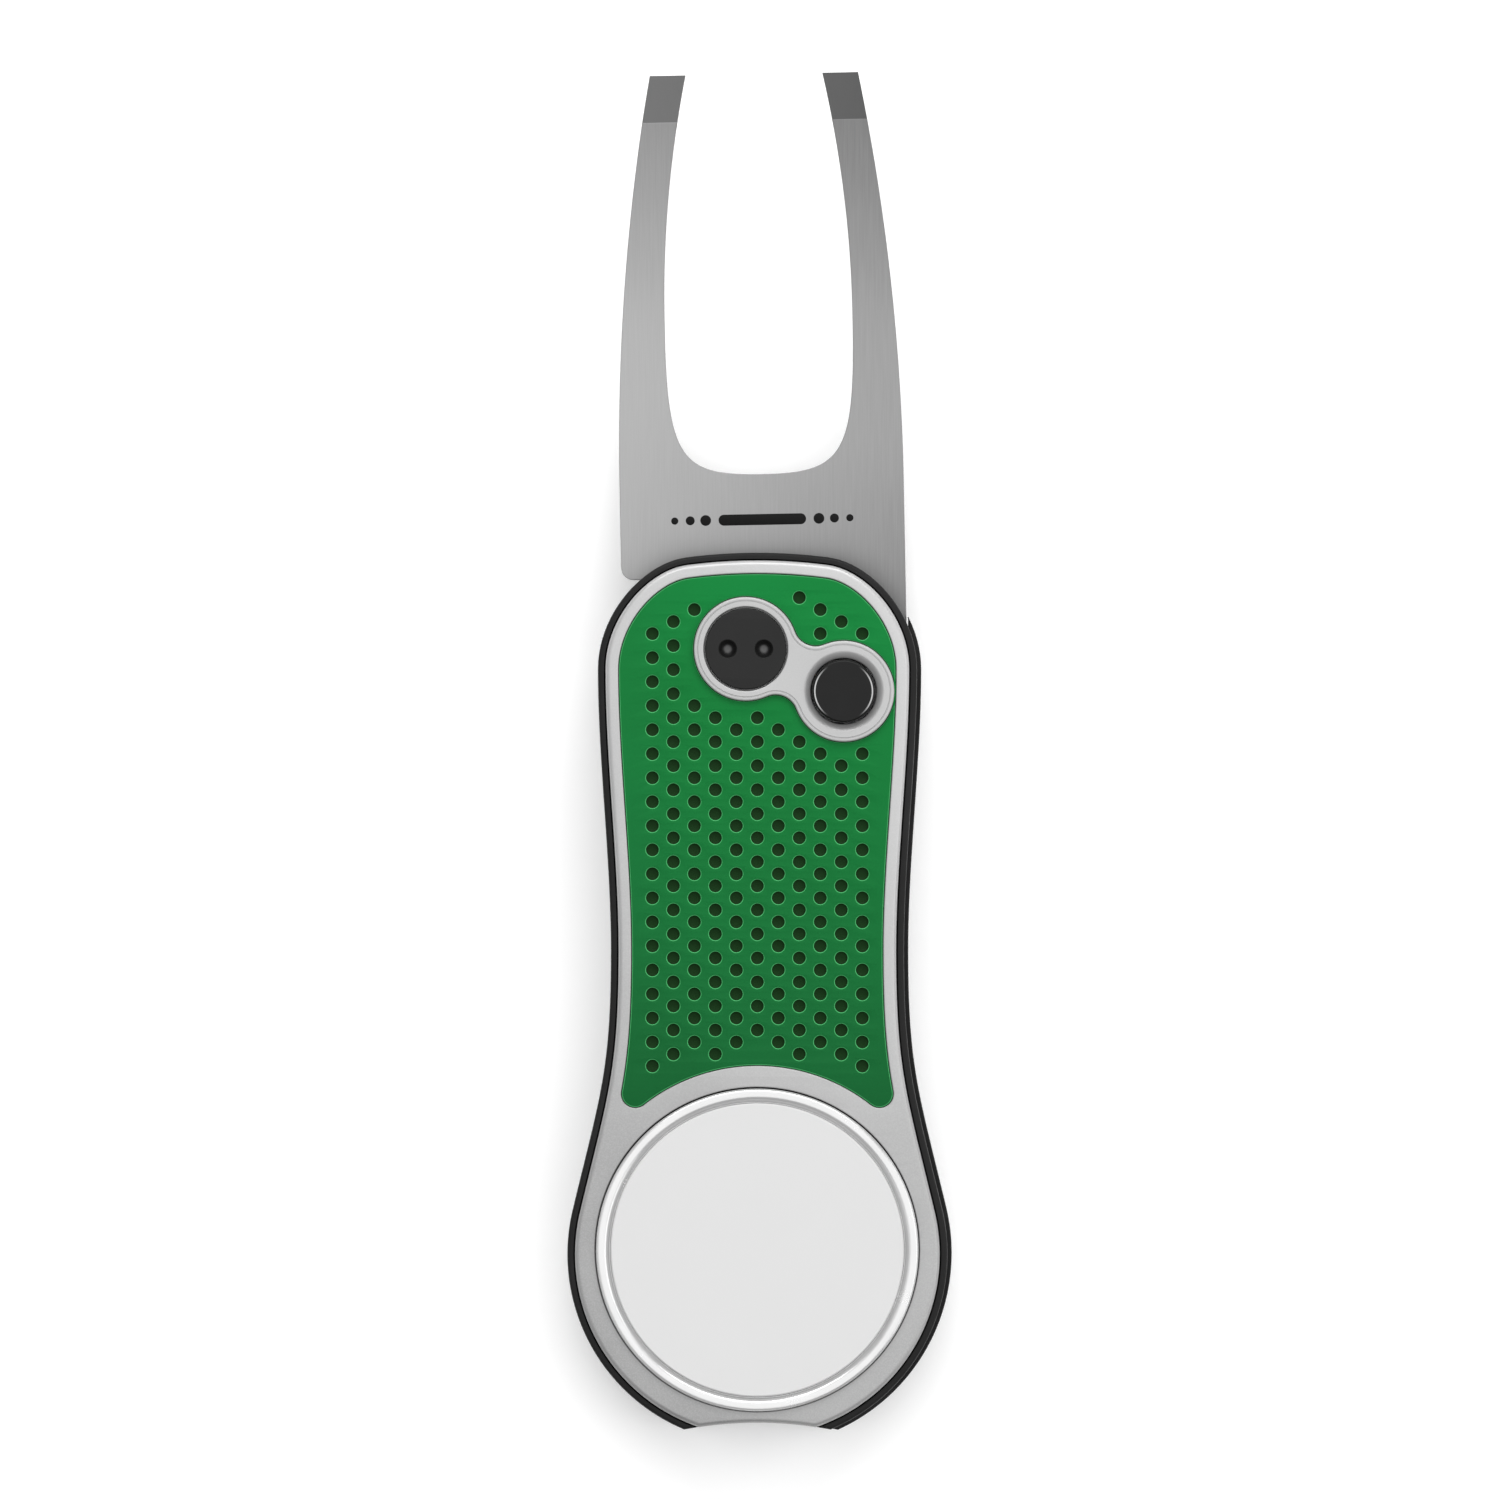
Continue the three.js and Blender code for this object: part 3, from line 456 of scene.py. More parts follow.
class Finish:
    """A material: one Principled shader and the nodes that vary it over the surface."""

    def __init__(self, name, **sockets):
        self.material = bpy.data.materials.new(name)
        self.material.use_nodes = True
        self.tree = self.material.node_tree
        self.shader = self.tree.nodes["Principled BSDF"]
        for socket, value in sockets.items():
            self.set(socket.replace("_", " "), value)

    def set(self, socket, value):
        self.plug(self.shader.inputs[socket], value)

    def plug(self, socket, value):
        if isinstance(value, Value):
            self.tree.links.new(value.socket, socket)
        elif isinstance(value, bpy.types.NodeSocket):
            self.tree.links.new(value, socket)
        else:
            socket.default_value = value

    def node(self, kind, settings=None, sockets=None, output=0):
        made = self.tree.nodes.new(kind)
        for name, value in (settings or {}).items():
            setattr(made, name, value)
        for name, value in (sockets or {}).items():
            self.plug(made.inputs[name], value)
        return Value(self, made.outputs[output])

    def place(self):
        """Where a point is on the piece, in metres."""
        return self.node("ShaderNodeTexCoord", output="Object")

    def axis(self, name):
        return self.node("ShaderNodeSeparateXYZ", {}, {"Vector": self.place()}, output=name)

    def stretched(self, scale):
        """The place stretched along the axes, for grain that has a direction."""
        return self.node("ShaderNodeVectorMath", {"operation": "MULTIPLY"}, {0: self.place(), 1: scale})

    def grain(self, size, detail=3, place=None, roughness=0.5):
        """Noise with features of a size in metres, from 0 to 1."""
        return self.node(
            "ShaderNodeTexNoise", {},
            {"Vector": place or self.place(), "Scale": 1 / size, "Detail": detail, "Roughness": roughness},
        )

    def blend(self, amount, first, second):
        """A colour between two."""
        mix = self.tree.nodes.new("ShaderNodeMix")
        mix.data_type = "RGBA"
        colours = [s for s in mix.inputs if s.type == "RGBA"]
        self.plug(mix.inputs[0], amount)
        self.plug(colours[0], first)
        self.plug(colours[1], second)
        return Value(self, next(s for s in mix.outputs if s.type == "RGBA"))

    def relief(self, height, depth, strength=1.0, under=None):
        """A bump of the given depth in metres."""
        sockets = {"Height": height, "Distance": depth, "Strength": strength}
        if under:
            sockets["Normal"] = under
        return self.node("ShaderNodeBump", {}, sockets)


def grey(level, alpha=1.0):
    return (level, level, level, alpha)


def casing_finish():
    """Spark-eroded black plastic: fine grain, a little rubbed where hands hold it."""
    finish = Finish("casing_black_plastic", Metallic=0.0, Specular_IOR_Level=0.22)
    grain = finish.grain(0.00016, 4)
    rubbed = finish.grain(0.009, 3).over(0.45, 0.75)
    finish.set("Base Color", finish.blend(rubbed, grey(0.003), (0.0055, 0.0055, 0.006, 1)))
    finish.set("Roughness", 0.46 - 0.1 * rubbed + 0.14 * grain)
    finish.set("Normal", finish.relief(grain, 0.00002, 0.8))
    return finish.material


def silver_finish(name, shade=1.0):
    """Satin silver lacquer on the frame and the bezel, with a fine flake, and painted light that makes it paler
    towards the crown and the right side.
    """
    finish = Finish(name, Metallic=0.5, Specular_IOR_Level=0.4)
    flake = finish.grain(0.00009, 2)
    cloud = finish.grain(0.012, 3).over(0.3, 0.7)
    # Painted light: the tone runs from dark at the hollow end and the left side to pale at the crown and the
    # right side.
    rise = 0.78 * finish.axis("Y").over(-0.035, 0.075) + 0.22 * finish.axis("X").over(-0.018, 0.018)
    tone = finish.blend(rise, grey(0.20 * shade), grey(0.455 * shade))
    worn = finish.blend(cloud * 0.1, tone, grey(0.6 * shade))
    finish.set("Base Color", finish.blend(flake.over(0.35, 0.75) * 0.1, worn, grey(0.7 * shade)))
    finish.set("Roughness", 0.32 + 0.1 * flake + 0.05 * cloud)
    finish.set("Normal", finish.relief(flake, 0.000006, 0.5))
    return finish.material


def grip_finish(name, top, depth, facing=1):
    """Soft green rubber with a fine moulded grain, and painted light: paler towards the crown, darker at its
    left edge, a painted highlight on its dimples' lips and painted shade down in them.
    """
    finish = Finish(name, Metallic=0.0, Specular_IOR_Level=0.1)
    grain = finish.grain(0.00022, 4)
    cloud = finish.grain(0.014, 3).over(0.3, 0.7)
    # Painted light: the skin's green runs from a shaded tone low down and at the left edge to a lit tone
    # towards the crown.
    along = finish.axis("Y").over(0.004, 0.056) * (0.72 + 0.28 * finish.axis("X").over(-0.011, -0.002))
    sunk = (top * MM - finish.axis("Z")) * facing
    low = finish.blend(cloud, (0.002, 0.082, 0.018, 1), (0.003, 0.092, 0.021, 1))
    high = finish.blend(cloud, (0.002, 0.157, 0.028, 1), (0.003, 0.176, 0.034, 1))
    skin_with_painted_light = finish.blend(along, low, high)
    # Painted highlight: a pale green ring on the chamfered lip of each dimple.
    lip = sunk.over(0.008 * MM, 0.03 * MM) * (1 - sunk.over(0.12 * MM, 0.16 * MM))
    lit = finish.blend(lip, skin_with_painted_light, (0.08, 0.42, 0.15, 1))
    # Painted shade: dark green down in the dimples.
    finish.set("Base Color", finish.blend(sunk.over(0.12 * MM, depth * MM), lit, (0.006, 0.036, 0.006, 1)))
    finish.set("Roughness", 0.5 + 0.14 * grain + 0.06 * cloud)
    finish.set("Normal", finish.relief(grain, 0.000014, 0.7))
    return finish.material


def fork_finish():
    """Stainless steel brushed along the prongs, with faint wear scratches, and painted shade: darker towards
    the tips, the right side and the root, and darker still on the ground slopes of the tips.
    """
    finish = Finish("fork_brushed_steel", Metallic=1.0, Anisotropic=0.3)
    streak = finish.grain(0.001, 4, finish.stretched((9.0, 0.22, 1.0)), 0.6)
    fine = finish.grain(0.001, 2, finish.stretched((26.0, 0.7, 1.0)), 0.7)
    cloud = finish.grain(0.02, 2).over(0.3, 0.7)
    # Painted shade: the steel's tone darkens towards the tips, towards the right side and near the root.
    across = finish.axis("X").over(-0.012, 0.014)
    root = 1 - finish.axis("Y").over(0.050, 0.064)
    painted_shade = 0.62 * finish.axis("Y").over(0.066, 0.094) + 0.38 * across + root * (0.1 + 0.2 * across)
    # Painted shade on the ground slopes of the tips, darker to the right, where the steel is also a little
    # rougher; the mask takes in every face below the top past the slope's start, the tips' back face too.
    below_top = (FORK_TOP * MM - finish.axis("Z")).over(0.002 * MM, 0.012 * MM)
    ground = below_top * finish.axis("Y").over(0.0870, 0.0871)
    bright = finish.blend(cloud, grey(0.275), grey(0.30))
    tone = finish.blend(painted_shade, bright, grey(0.115))
    brushed = finish.blend(streak.over(0.25, 0.8) * 0.06, tone, grey(0.6))
    finish.set("Base Color", finish.blend(ground, brushed, finish.blend(across, grey(0.09), grey(0.055))))
    finish.set("Roughness", 0.31 + 0.08 * streak + 0.05 * fine + 0.1 * ground)
    finish.set("Normal", finish.relief(streak * 0.6 + fine * 0.4, 0.000003, 0.25))
    return finish.material


def cap_finish():
    """Satin black lacquer on the pivot cap, with a painted glint at the bottom of its two holes."""
    finish = Finish("cap_satin_black", Metallic=0.0, Specular_IOR_Level=0.2)
    grain = finish.grain(0.00014, 3)
    cloud = finish.grain(0.004, 2)
    black = finish.blend(cloud, grey(0.006), grey(0.010))
    glint = (BEZEL_TOP * MM - finish.axis("Z")).over(0.72 * MM, 0.79 * MM)
    finish.set("Base Color", finish.blend(glint, black, grey(0.13)))
    finish.set("Roughness", 0.36 + 0.12 * grain)
    finish.set("Normal", finish.relief(grain, 0.000006, 0.5))
    return finish.material


def button_finish():
    """Gloss black plastic with a faint thumb haze, and a painted highlight at the sides of its rim."""
    finish = Finish("button_gloss_black", Metallic=0.0, Specular_IOR_Level=0.18)
    haze = finish.grain(0.0028, 3).over(0.4, 0.8)
    across, along = finish.axis("X") - BUTTON.x * MM, finish.axis("Y") - BUTTON.y * MM
    reach = across * across + along * along
    past_inner = reach.over((2.16 * MM) ** 2, (2.2 * MM) ** 2)
    past_outer = reach.over((2.26 * MM) ** 2, (2.3 * MM) ** 2)
    edge = past_inner * (1 - past_outer)
    # Painted highlight: a thin bright arc on the rim, strongest at its left and right sides.
    painted_highlight = edge * (across * across).over((1.1 * MM) ** 2, (2.2 * MM) ** 2)
    black = finish.blend(haze, grey(0.002), grey(0.004))
    finish.set("Base Color", finish.blend(painted_highlight, black, grey(0.42)))
    finish.set("Roughness", 0.12 + 0.12 * haze)
    return finish.material


def metal_finish(name, tone, roughness, size=0.00012, depth=0.000004):
    """Plain turned or stamped metal with a fine grain."""
    finish = Finish(name, Metallic=1.0)
    grain = finish.grain(size, 3)
    cloud = finish.grain(0.004, 2)
    worn = tuple(min(1.0, c * 1.18) for c in tone[:3]) + (1.0,)
    finish.set("Base Color", finish.blend(cloud.over(0.3, 0.75), tone, worn))
    finish.set("Roughness", roughness + 0.12 * grain)
    finish.set("Normal", finish.relief(grain, depth, 0.6))
    return finish.material


def marker_rim_finish():
    """Bright plated rim of the ball marker."""
    finish = Finish("marker_bright_rim", Metallic=0.6)
    haze = finish.grain(0.0035, 3).over(0.35, 0.8)
    fine = finish.grain(0.0001, 2)
    finish.set("Base Color", finish.blend(haze, grey(0.55), grey(0.59)))
    finish.set("Roughness", 0.2 + 0.06 * haze + 0.04 * fine)
    finish.set("Normal", finish.relief(fine, 0.000001, 0.3))
    return finish.material


def enamel_finish():
    """Pale enamel, poured smooth, with a faint unevenness."""
    finish = Finish("marker_pale_enamel", Metallic=0.0, Specular_IOR_Level=0.35)
    wave = finish.grain(0.006, 3)
    speck = finish.grain(0.00025, 2).over(0.72, 0.8)
    tone = finish.blend(wave, grey(0.535), grey(0.55))
    finish.set("Base Color", finish.blend(speck * 0.2, tone, grey(0.49)))
    finish.set("Roughness", 0.34 + 0.08 * wave)
    finish.set("Normal", finish.relief(wave, 0.00001, 0.3))
    return finish.material


def nylon_finish():
    """Natural nylon of the washers."""
    finish = Finish("nylon_natural", Metallic=0.0, Subsurface_Weight=0.1)
    grain = finish.grain(0.0002, 3)
    finish.set("Base Color", finish.blend(grain, (0.6, 0.58, 0.5, 1), (0.7, 0.68, 0.6, 1)))
    finish.set("Roughness", 0.5 + 0.1 * grain)
    return finish.material


CASING = casing_finish()
SILVER = silver_finish("frame_satin_silver")
BEZEL_SILVER = silver_finish("bezel_satin_silver", 0.92)
STEEL = fork_finish()
CAP = cap_finish()
GLOSS = button_finish()
SPRING = metal_finish("spring_steel_wire", (0.46, 0.46, 0.47, 1), 0.28)
SCREW = metal_finish("screw_zinc_plate", (0.5, 0.5, 0.52, 1), 0.24)
NICKEL = metal_finish("magnet_nickel", (0.6, 0.58, 0.55, 1), 0.16)
ALLOY = metal_finish("sharpener_cast_alloy", (0.42, 0.42, 0.43, 1), 0.42, 0.0003, 0.00001)
BRASS = metal_finish("bush_turned_brass", (0.62, 0.42, 0.16, 1), 0.26)
RIM = marker_rim_finish()
ENAMEL = enamel_finish()
NYLON = nylon_finish()


# ---- Solids that cut others ------------------------------------------------------------------

def block(low, high):
    """Points and faces of a box between two corners."""
    xs, ys, zs = zip(low, high)
    corners = [Vector((x, y, z)) for z in zs for y in ys for x in xs]
    sides = [(0, 2, 3, 1), (4, 5, 7, 6), (0, 1, 5, 4), (2, 6, 7, 3), (0, 4, 6, 2), (1, 3, 7, 5)]
    return corners, sides


def raw_object(points, faces):
    mesh = bpy.data.meshes.new("cutter")
    mesh.from_pydata([tuple(p) for p in points], [], faces)
    work = bmesh.new()
    work.from_mesh(mesh)
    bmesh.ops.remove_doubles(work, verts=work.verts, dist=1e-5)
    bmesh.ops.recalc_face_normals(work, faces=work.faces)
    work.to_mesh(mesh)
    work.free()
    thing = bpy.data.objects.new("cutter", mesh)
    bpy.context.scene.collection.objects.link(thing)
    return thing


def carved(solid, cutters):
    """The points and faces of a solid with each cutter taken out of it."""
    body = raw_object(*solid)
    tools = [raw_object(*cutter) for cutter in cutters]
    for tool in tools:
        cut = body.modifiers.new("cut", "BOOLEAN")
        cut.operation, cut.solver, cut.object = "DIFFERENCE", "EXACT", tool
    bpy.context.view_layer.update()
    mesh = body.evaluated_get(bpy.context.evaluated_depsgraph_get()).to_mesh()
    points = [v.co.copy() for v in mesh.vertices]
    faces = [tuple(face.vertices) for face in mesh.polygons]
    for thing in [body, *tools]:
        bpy.data.objects.remove(thing)
    return points, faces


# ---- Casing ----------------------------------------------------------------------------------

BLOCK_LOW, BLOCK_HIGH = box_mm("sharpener_block")
MOUTH_Y = NOTCH_Y + NOTCH_RADIUS
MAGNET = middle_mm("marker_magnet").to_2d()
MAGNET_FLOOR = box_mm("marker_magnet")[0].z
ROOM = 0.08
PAST_END = -30
BLOCK_SPACE = block(
    (BLOCK_LOW.x - ROOM, MOUTH_Y - 9, BLOCK_LOW.z),
    (BLOCK_HIGH.x + ROOM, BLOCK_HIGH.y + ROOM, BLOCK_HIGH.z + ROOM),
)
BUSH_HOLE = 2.38
BUTTON_CLEARANCE = 0.15
MAGNET_POCKET = 3.12
TRAY_MARGIN = 0.12
POCKET_EDGE = 0.14
BACK_GRIP_FLOOR = 1.0
NUT_POCKET, NUT_FLOOR = 3.25, 1.3
SHANK_HOLE = 1.3
SCREW_POCKET, SCREW_FLOOR = 1.86, 1.2
SCREW_HOLE = 0.95
GUIDE_POCKET = 3.12
CLIP_WELL, CLIP_FLOOR = 2.35, 0.9


def front_casing():
    """The front shell: a shallow tray for the silver frame, with a lip that stops at the hollow end."""
    shell = Moulding(body_outline(CASING_BAND), SLOT_HIGH, CASING_TOP, edge_low=0.12, edge_high=0.24)
    shell.through(circle(BUTTON, BUTTON_RADIUS + BUTTON_CLEARANCE))
    shell.through(circle(PIVOT, BUSH_HOLE))
    shell.pocket(circle(MAGNET, MAGNET_POCKET), MAGNET_FLOOR)
    rim = body_outline(TRAY_MARGIN)
    mouth = abs(min(rim, key=lambda p: p.y).x)
    sides = [p for p in rim if p.y > 0 or abs(p.x) > mouth - 0.001]
    tray_outline = [Vector((mouth, PAST_END)), *sides, Vector((-mouth, PAST_END))]
    tray = Moulding(tray_outline, TRAY_FLOOR, CASING_TOP + 1)
    parts = carved(shell.close(), [BLOCK_SPACE, tray.close()])
    return make("front_shell", *parts, "handle", "casing_black", CASING, ["front_casing"])


def back_grip_outline(grow):
    low, high = box_mm("back_grip")
    reach = Vector((grow, grow))
    return rounded_box(low.to_2d() - reach, high.to_2d() + reach, radius=3 + grow, steps=12)


def back_casing():
    """The back shell, well rounded at its back edge, with its pockets for the grip, screws and nut."""
    shell = Moulding(body_outline(CASING_BAND), 0, BACK_TOP, edge_low=1.25, edge_high=0.12, steps=8)
    shell.pocket(back_grip_outline(ROOM), BACK_GRIP_FLOOR, POCKET_EDGE, "bottom")
    shank_hole = circle(PIVOT, SHANK_HOLE, 32)
    shell.pocket(circle(PIVOT, NUT_POCKET), NUT_FLOOR, POCKET_EDGE, "bottom", [(shank_hole, None)])
    for place in SCREWS:
        screw_hole = circle(place, SCREW_HOLE, 24)
        shell.pocket(circle(place, SCREW_POCKET, 36), SCREW_FLOOR, POCKET_EDGE, "bottom", [(screw_hole, None)])
    guide_floor = box_mm("stem_guide")[0].z
    clip_well = circle(BUTTON, CLIP_WELL, 40)
    shell.pocket(circle(BUTTON, GUIDE_POCKET), guide_floor, drills=[(clip_well, CLIP_FLOOR)])
    window_outline = rounded_box((-3.4, -12.3), (4.6, -1.9), radius=0.6, steps=6)
    window = Moulding(window_outline, -1, BLOCK_LOW.z + 0.5)
    parts = carved(shell.close(), [BLOCK_SPACE, window.close()])
    return make("back_shell", *parts, "handle", "casing_black", CASING, ["back_casing"])


FORK_REACH = 46.02
WEDGE_X = 11.66
SLOT_WALL = -0.3
SPINE_STEP_Y = PIVOT.y - 1.95


def slot_floor_y(x):
    """Where the fork's sweep ends, at a place across the handle."""
    return PIVOT.y - math.sqrt(FORK_REACH**2 - (x - PIVOT.x) ** 2)


def slot_floor(start, end, steps=24):
    places = [start + (end - start) * i / steps for i in range(steps + 1)]
    return [Vector((x, slot_floor_y(x))) for x in places]


def notch_point(x):
    """A place on the arc of the hollow end."""
    return Vector((x, NOTCH_Y + math.sqrt(NOTCH_RADIUS**2 - x**2)))


def spine_spacer():
    """The closed wall of the fork's slot: it runs up the right side and ends in a sharp wedge."""
    side = BLOCK_HIGH.x + ROOM
    end_y = BLOCK_HIGH.y + ROOM
    outer = body_outline(CASING_BAND + SPINE_PROUD)
    outer = outer[: len(outer) // 2]
    outer = [p for p in outer if p.x > side]
    tip = next(i for i, p in enumerate(outer) if p.y > LOBE.y and p.x < WEDGE_X)
    below, above = outer[tip - 1], outer[tip]
    wedge = below.lerp(above, (WEDGE_X - below.x) / (above.x - below.x))
    inner = [p for p in side_points(SLOT_WALL) if slot_floor_y(p.x) < p.y < SPINE_STEP_Y]
    points = [notch_point(side), *outer[:tip], wedge, Vector((wedge.x, SPINE_STEP_Y)), *reversed(inner)]
    points += [*slot_floor(inner[0].x - 0.2, 0), Vector((0, end_y)), Vector((side, end_y))]
    wall = Moulding(points, SLOT_LOW, SLOT_HIGH, edge_low=0.06, edge_high=0.09, steps=3)
    wall.through(circle(SCREWS[1], SCREW_HOLE, 24))
    return make("spine", *wall.close(), "handle", "casing_black", CASING, ["spine_spacer"])


def toe_spacer():
    """The left foot of the slot, round the sharpener."""
    side = BLOCK_LOW.x - ROOM
    end_y = BLOCK_HIGH.y + ROOM
    outline = body_outline(CASING_BAND)
    left = [p for p in outline[len(outline) // 2:] if p.x < side and p.y < slot_floor_y(p.x)]
    points = [*left, notch_point(side), Vector((side, end_y)), Vector((0, end_y))]
    points += slot_floor(0, left[0].x + 0.3)
    foot = Moulding(points, SLOT_LOW, SLOT_HIGH, edge_low=0.04, edge_high=0.04, steps=3)
    foot.through(circle(SCREWS[0], SCREW_HOLE, 24))
    return make("toe", *foot.close(), "handle", "casing_black", CASING, ["toe_spacer"])


# ---- Front cover -----------------------------------------------------------------------------

MARKER_HOLE = MARKER + Vector((0, 0.045))
MARKER_HOLE_GAP = 0.058
CAP_SEAT = BEZEL_TOP - 1.2
NECK_MARGIN, LOBE_MARGIN = 0.86, 0.74
BORE_GAP = 0.1


def front_frame():
    """The silver frame: a rounded outer edge, the grip's window and the marker's recess."""
    cover = Moulding(body_outline(0), TRAY_FLOOR, FRAME_TOP, edge_low=0.04, edge_high=0.4, steps=8)
    cover.through(grip_outline(0), round_low=0.04, round_high=0.1)
    cover.through(circle(MARKER_HOLE, MARKER_RADIUS + MARKER_HOLE_GAP, 160), round_low=0.04, round_high=0.1)
    return make("silver_frame", *cover.close(), "handle", "frame_silver", SILVER, ["front_frame"])


def distance_to(point, outline):
    """How far a point is from a closed outline."""
    nearest = math.inf
    for i, end in enumerate(outline):
        start = outline[i - 1]
        along = end - start
        share = max(0, min(1, (point - start).dot(along) / along.length_squared))
        nearest = min(nearest, (start + along * share - point).length)
    return nearest


def inside(point, outline):
    crossings = 0
    for i, end in enumerate(outline):
        start = outline[i - 1]
        if (start.y > point.y) != (end.y > point.y):
            crossings += point.x < start.x + (point.y - start.y) * (end.x - start.x) / (end.y - start.y)
    return crossings % 2 == 1


def clear_of_bezel(place):
    """A dimple comes close to the bezel's lobes, and keeps a little more off its neck."""
    near_neck = (place - PIVOT.lerp(BUTTON, 0.5)).length < CAP_LOBE
    outline = bezel_outline(0)
    margin = NECK_MARGIN if near_neck else LOBE_MARGIN
    return not inside(place, outline) and distance_to(place, outline) > margin


def dimple_places(outline, margin, top_y, columns, allowed=None):
    """A honeycomb of dimples that keeps a margin to the pad's edge."""
    places = []
    for column in range(-columns, columns + 1):
        first = top_y + (0 if column % 2 else DIMPLE_PITCH.y / 2)
        for row in range(-4, 40):
            place = Vector((column * DIMPLE_PITCH.x, first - row * DIMPLE_PITCH.y))
            clear = inside(place, outline) and distance_to(place, outline) > margin
            if clear and (allowed is None or allowed(place)):
                places.append(place)
    return places


def dimple_rows(face, away):
    """Rows of one dimple: a chamfered lip, a straight wall and a dished floor."""
    rows = [(0.09, 0), (0.05, 0.02), (0.01, 0.08), (0, 0.14), (0, 0.4), (-0.08, 0.47), (-0.25, 0.5)]
    return [(DIMPLE_RADIUS + wider, face + away * depth) for wider, depth in rows]


def front_grip():
    pad = Moulding(grip_outline(-0.05), TRAY_FLOOR, GRIP_TOP, edge_low=0.05, edge_high=0.14, steps=5)
    pad.through(offset(bezel_outline(0), 0.05), round_low=0.05, round_high=0.1)
    for place in dimple_places(grip_outline(0), margin=1.1, top_y=47.71, columns=5, allowed=clear_of_bezel):
        pad.bowl(place, dimple_rows(GRIP_TOP, -1))
    green = grip_finish("grip_green_rubber", GRIP_TOP, depth=0.3)
    return make("grip", *pad.close(), "handle", "grip_green", green, ["front_grip"])


def back_grip():
    low, high = box_mm("back_grip")
    outline = back_grip_outline(0)
    pad = Moulding(outline, low.z, high.z, edge_low=0.3, edge_high=0.05, steps=6)
    for place in dimple_places(outline, margin=1.2, top_y=25.36, columns=4):
        pad.bowl(place, dimple_rows(low.z, 1), side="bottom")
    green = grip_finish("back_grip_green_rubber", low.z, depth=0.3, facing=-1)
    return make("grip_back", *pad.close(), "handle", "grip_green", green, ["back_grip"])


def control_bezel():
    """The two-lobed silver bezel: a beaded edge, the cap's seat and the button's dished bore."""
    ring = Moulding(bezel_outline(0), TRAY_FLOOR, BEZEL_TOP, edge_low=0.04, edge_high=0.14, steps=5)
    bead = [(-0.24, 0), (-0.26, 0.05), (-0.3, 0.05), (-0.35, 0)]
    ring.groove(bezel_outline(0), [(move, BEZEL_TOP - depth) for move, depth in bead])
    shank_hole = circle(PIVOT, SHANK_HOLE, 32)
    ring.pocket(circle(PIVOT, CAP_RADIUS + 0.13, 72), CAP_SEAT, 0.08, drills=[(shank_hole, None)])
    bore = BUTTON_RADIUS + BORE_GAP
    sink = [(0.6, 0), (0.54, 0.01), (0.46, 0.04), (0.1, 0.2), (0.03, 0.26), (0, 0.45)]
    rows = [(bore + wider, BEZEL_TOP - depth) for wider, depth in sink]
    ring.bore(BUTTON, [*rows, (bore, TRAY_FLOOR)], 72)
    return make("bezel", *ring.close(), "handle", "frame_silver", BEZEL_SILVER, ["control_bezel"])


# ---- Pivot and button ------------------------------------------------------------------------

SPANNER_HOLE_X = 1.4
SHANK_RADIUS = 1.15
NUT_RADIUS, NUT_BORE = 3.1, 1.2
NUT_SLOT_HALF, NUT_SLOT_DEPTH = 0.4, 0.7
BUTTON_GAP = 0.03


def pivot_cap():
    """The pivot screw's round head, with two blind holes for a pin spanner."""
    foot = box_mm("pivot_cap")[0].z
    cap = Moulding(circle(PIVOT, CAP_RADIUS, 72), CAP_SEAT, BEZEL_TOP - 0.02, edge_low=0.05, edge_high=0.1)
    for side in (-1, 1):
        centre = PIVOT + Vector((SPANNER_HOLE_X * side, 0))
        rows = [(0.74, 0.02), (0.7, 0.05), (0.67, 0.16), (0.64, 0.42), (0.52, 0.62), (0.34, 0.74), (0.14, 0.79)]
        cap.bowl(centre, [(r, BEZEL_TOP - z) for r, z in rows], steps=32)
    shank = [(SHANK_RADIUS, CAP_SEAT), (SHANK_RADIUS, foot + 0.2), (SHANK_RADIUS - 0.15, foot)]
    cap.bowl(PIVOT, shank, "bottom", 32)
    return make("pivot_screw", *cap.close(), "handle", "cap_black", CAP, ["pivot_cap"])


def pivot_nut():
    low, high = box_mm("pivot_nut")
    nut = Moulding(circle(PIVOT, NUT_RADIUS, 72), low.z, high.z, edge_low=0.18, edge_high=0.05, steps=5)
    nut.through(circle(PIVOT, NUT_BORE, 32), round_low=0.1, round_high=0.05)
    half = Vector((NUT_RADIUS + 0.9, NUT_SLOT_HALF))
    slot = block((*(PIVOT - half), -1), (*(PIVOT + half), NUT_SLOT_DEPTH))
    parts = carved(nut.close(), [slot])
    return make("nut", *parts, "handle", "screw_steel", SCREW, ["pivot_nut"])


def release_button():
    low, high = box_mm("release_button")
    dish = 0.05
    wall = BUTTON_RADIUS - BUTTON_GAP
    profile = softened([
        (0, low.z), (wall, low.z), (wall, high.z), (BUTTON_RADIUS - 0.5, high.z), (0, high.z - dish),
    ], [0.1, 0.22, 0.2])
    parts = turned(BUTTON, profile, 96)
    return make("push_button", *parts, "button", "button_black", GLOSS, ["release_button"])


# ---- Ball marker -----------------------------------------------------------------------------

def marker_tray():
    """The marker's metal body: a full round rim that runs down into a groove inside it."""
    low, high = box_mm("marker_tray")
    seat = box_mm("marker_face")[0].z
    groove = high.z - 0.36
    inside_rim = MARKER_RADIUS - 0.72
    face_wall = FACE_RADIUS + 0.04
    profile = softened([
        (0, low.z), (MARKER_RADIUS, low.z), (MARKER_RADIUS, high.z), (inside_rim, high.z),
        (inside_rim - 0.32, groove), (face_wall, groove), (face_wall, seat), (0, seat),
    ], [0.3, 0.34, 0.22, 0.03, 0.02, 0.02])
    parts = turned(MARKER, profile, 192)
    return make("marker_rim", *parts, "marker", "marker_chrome", RIM, ["marker_tray"])


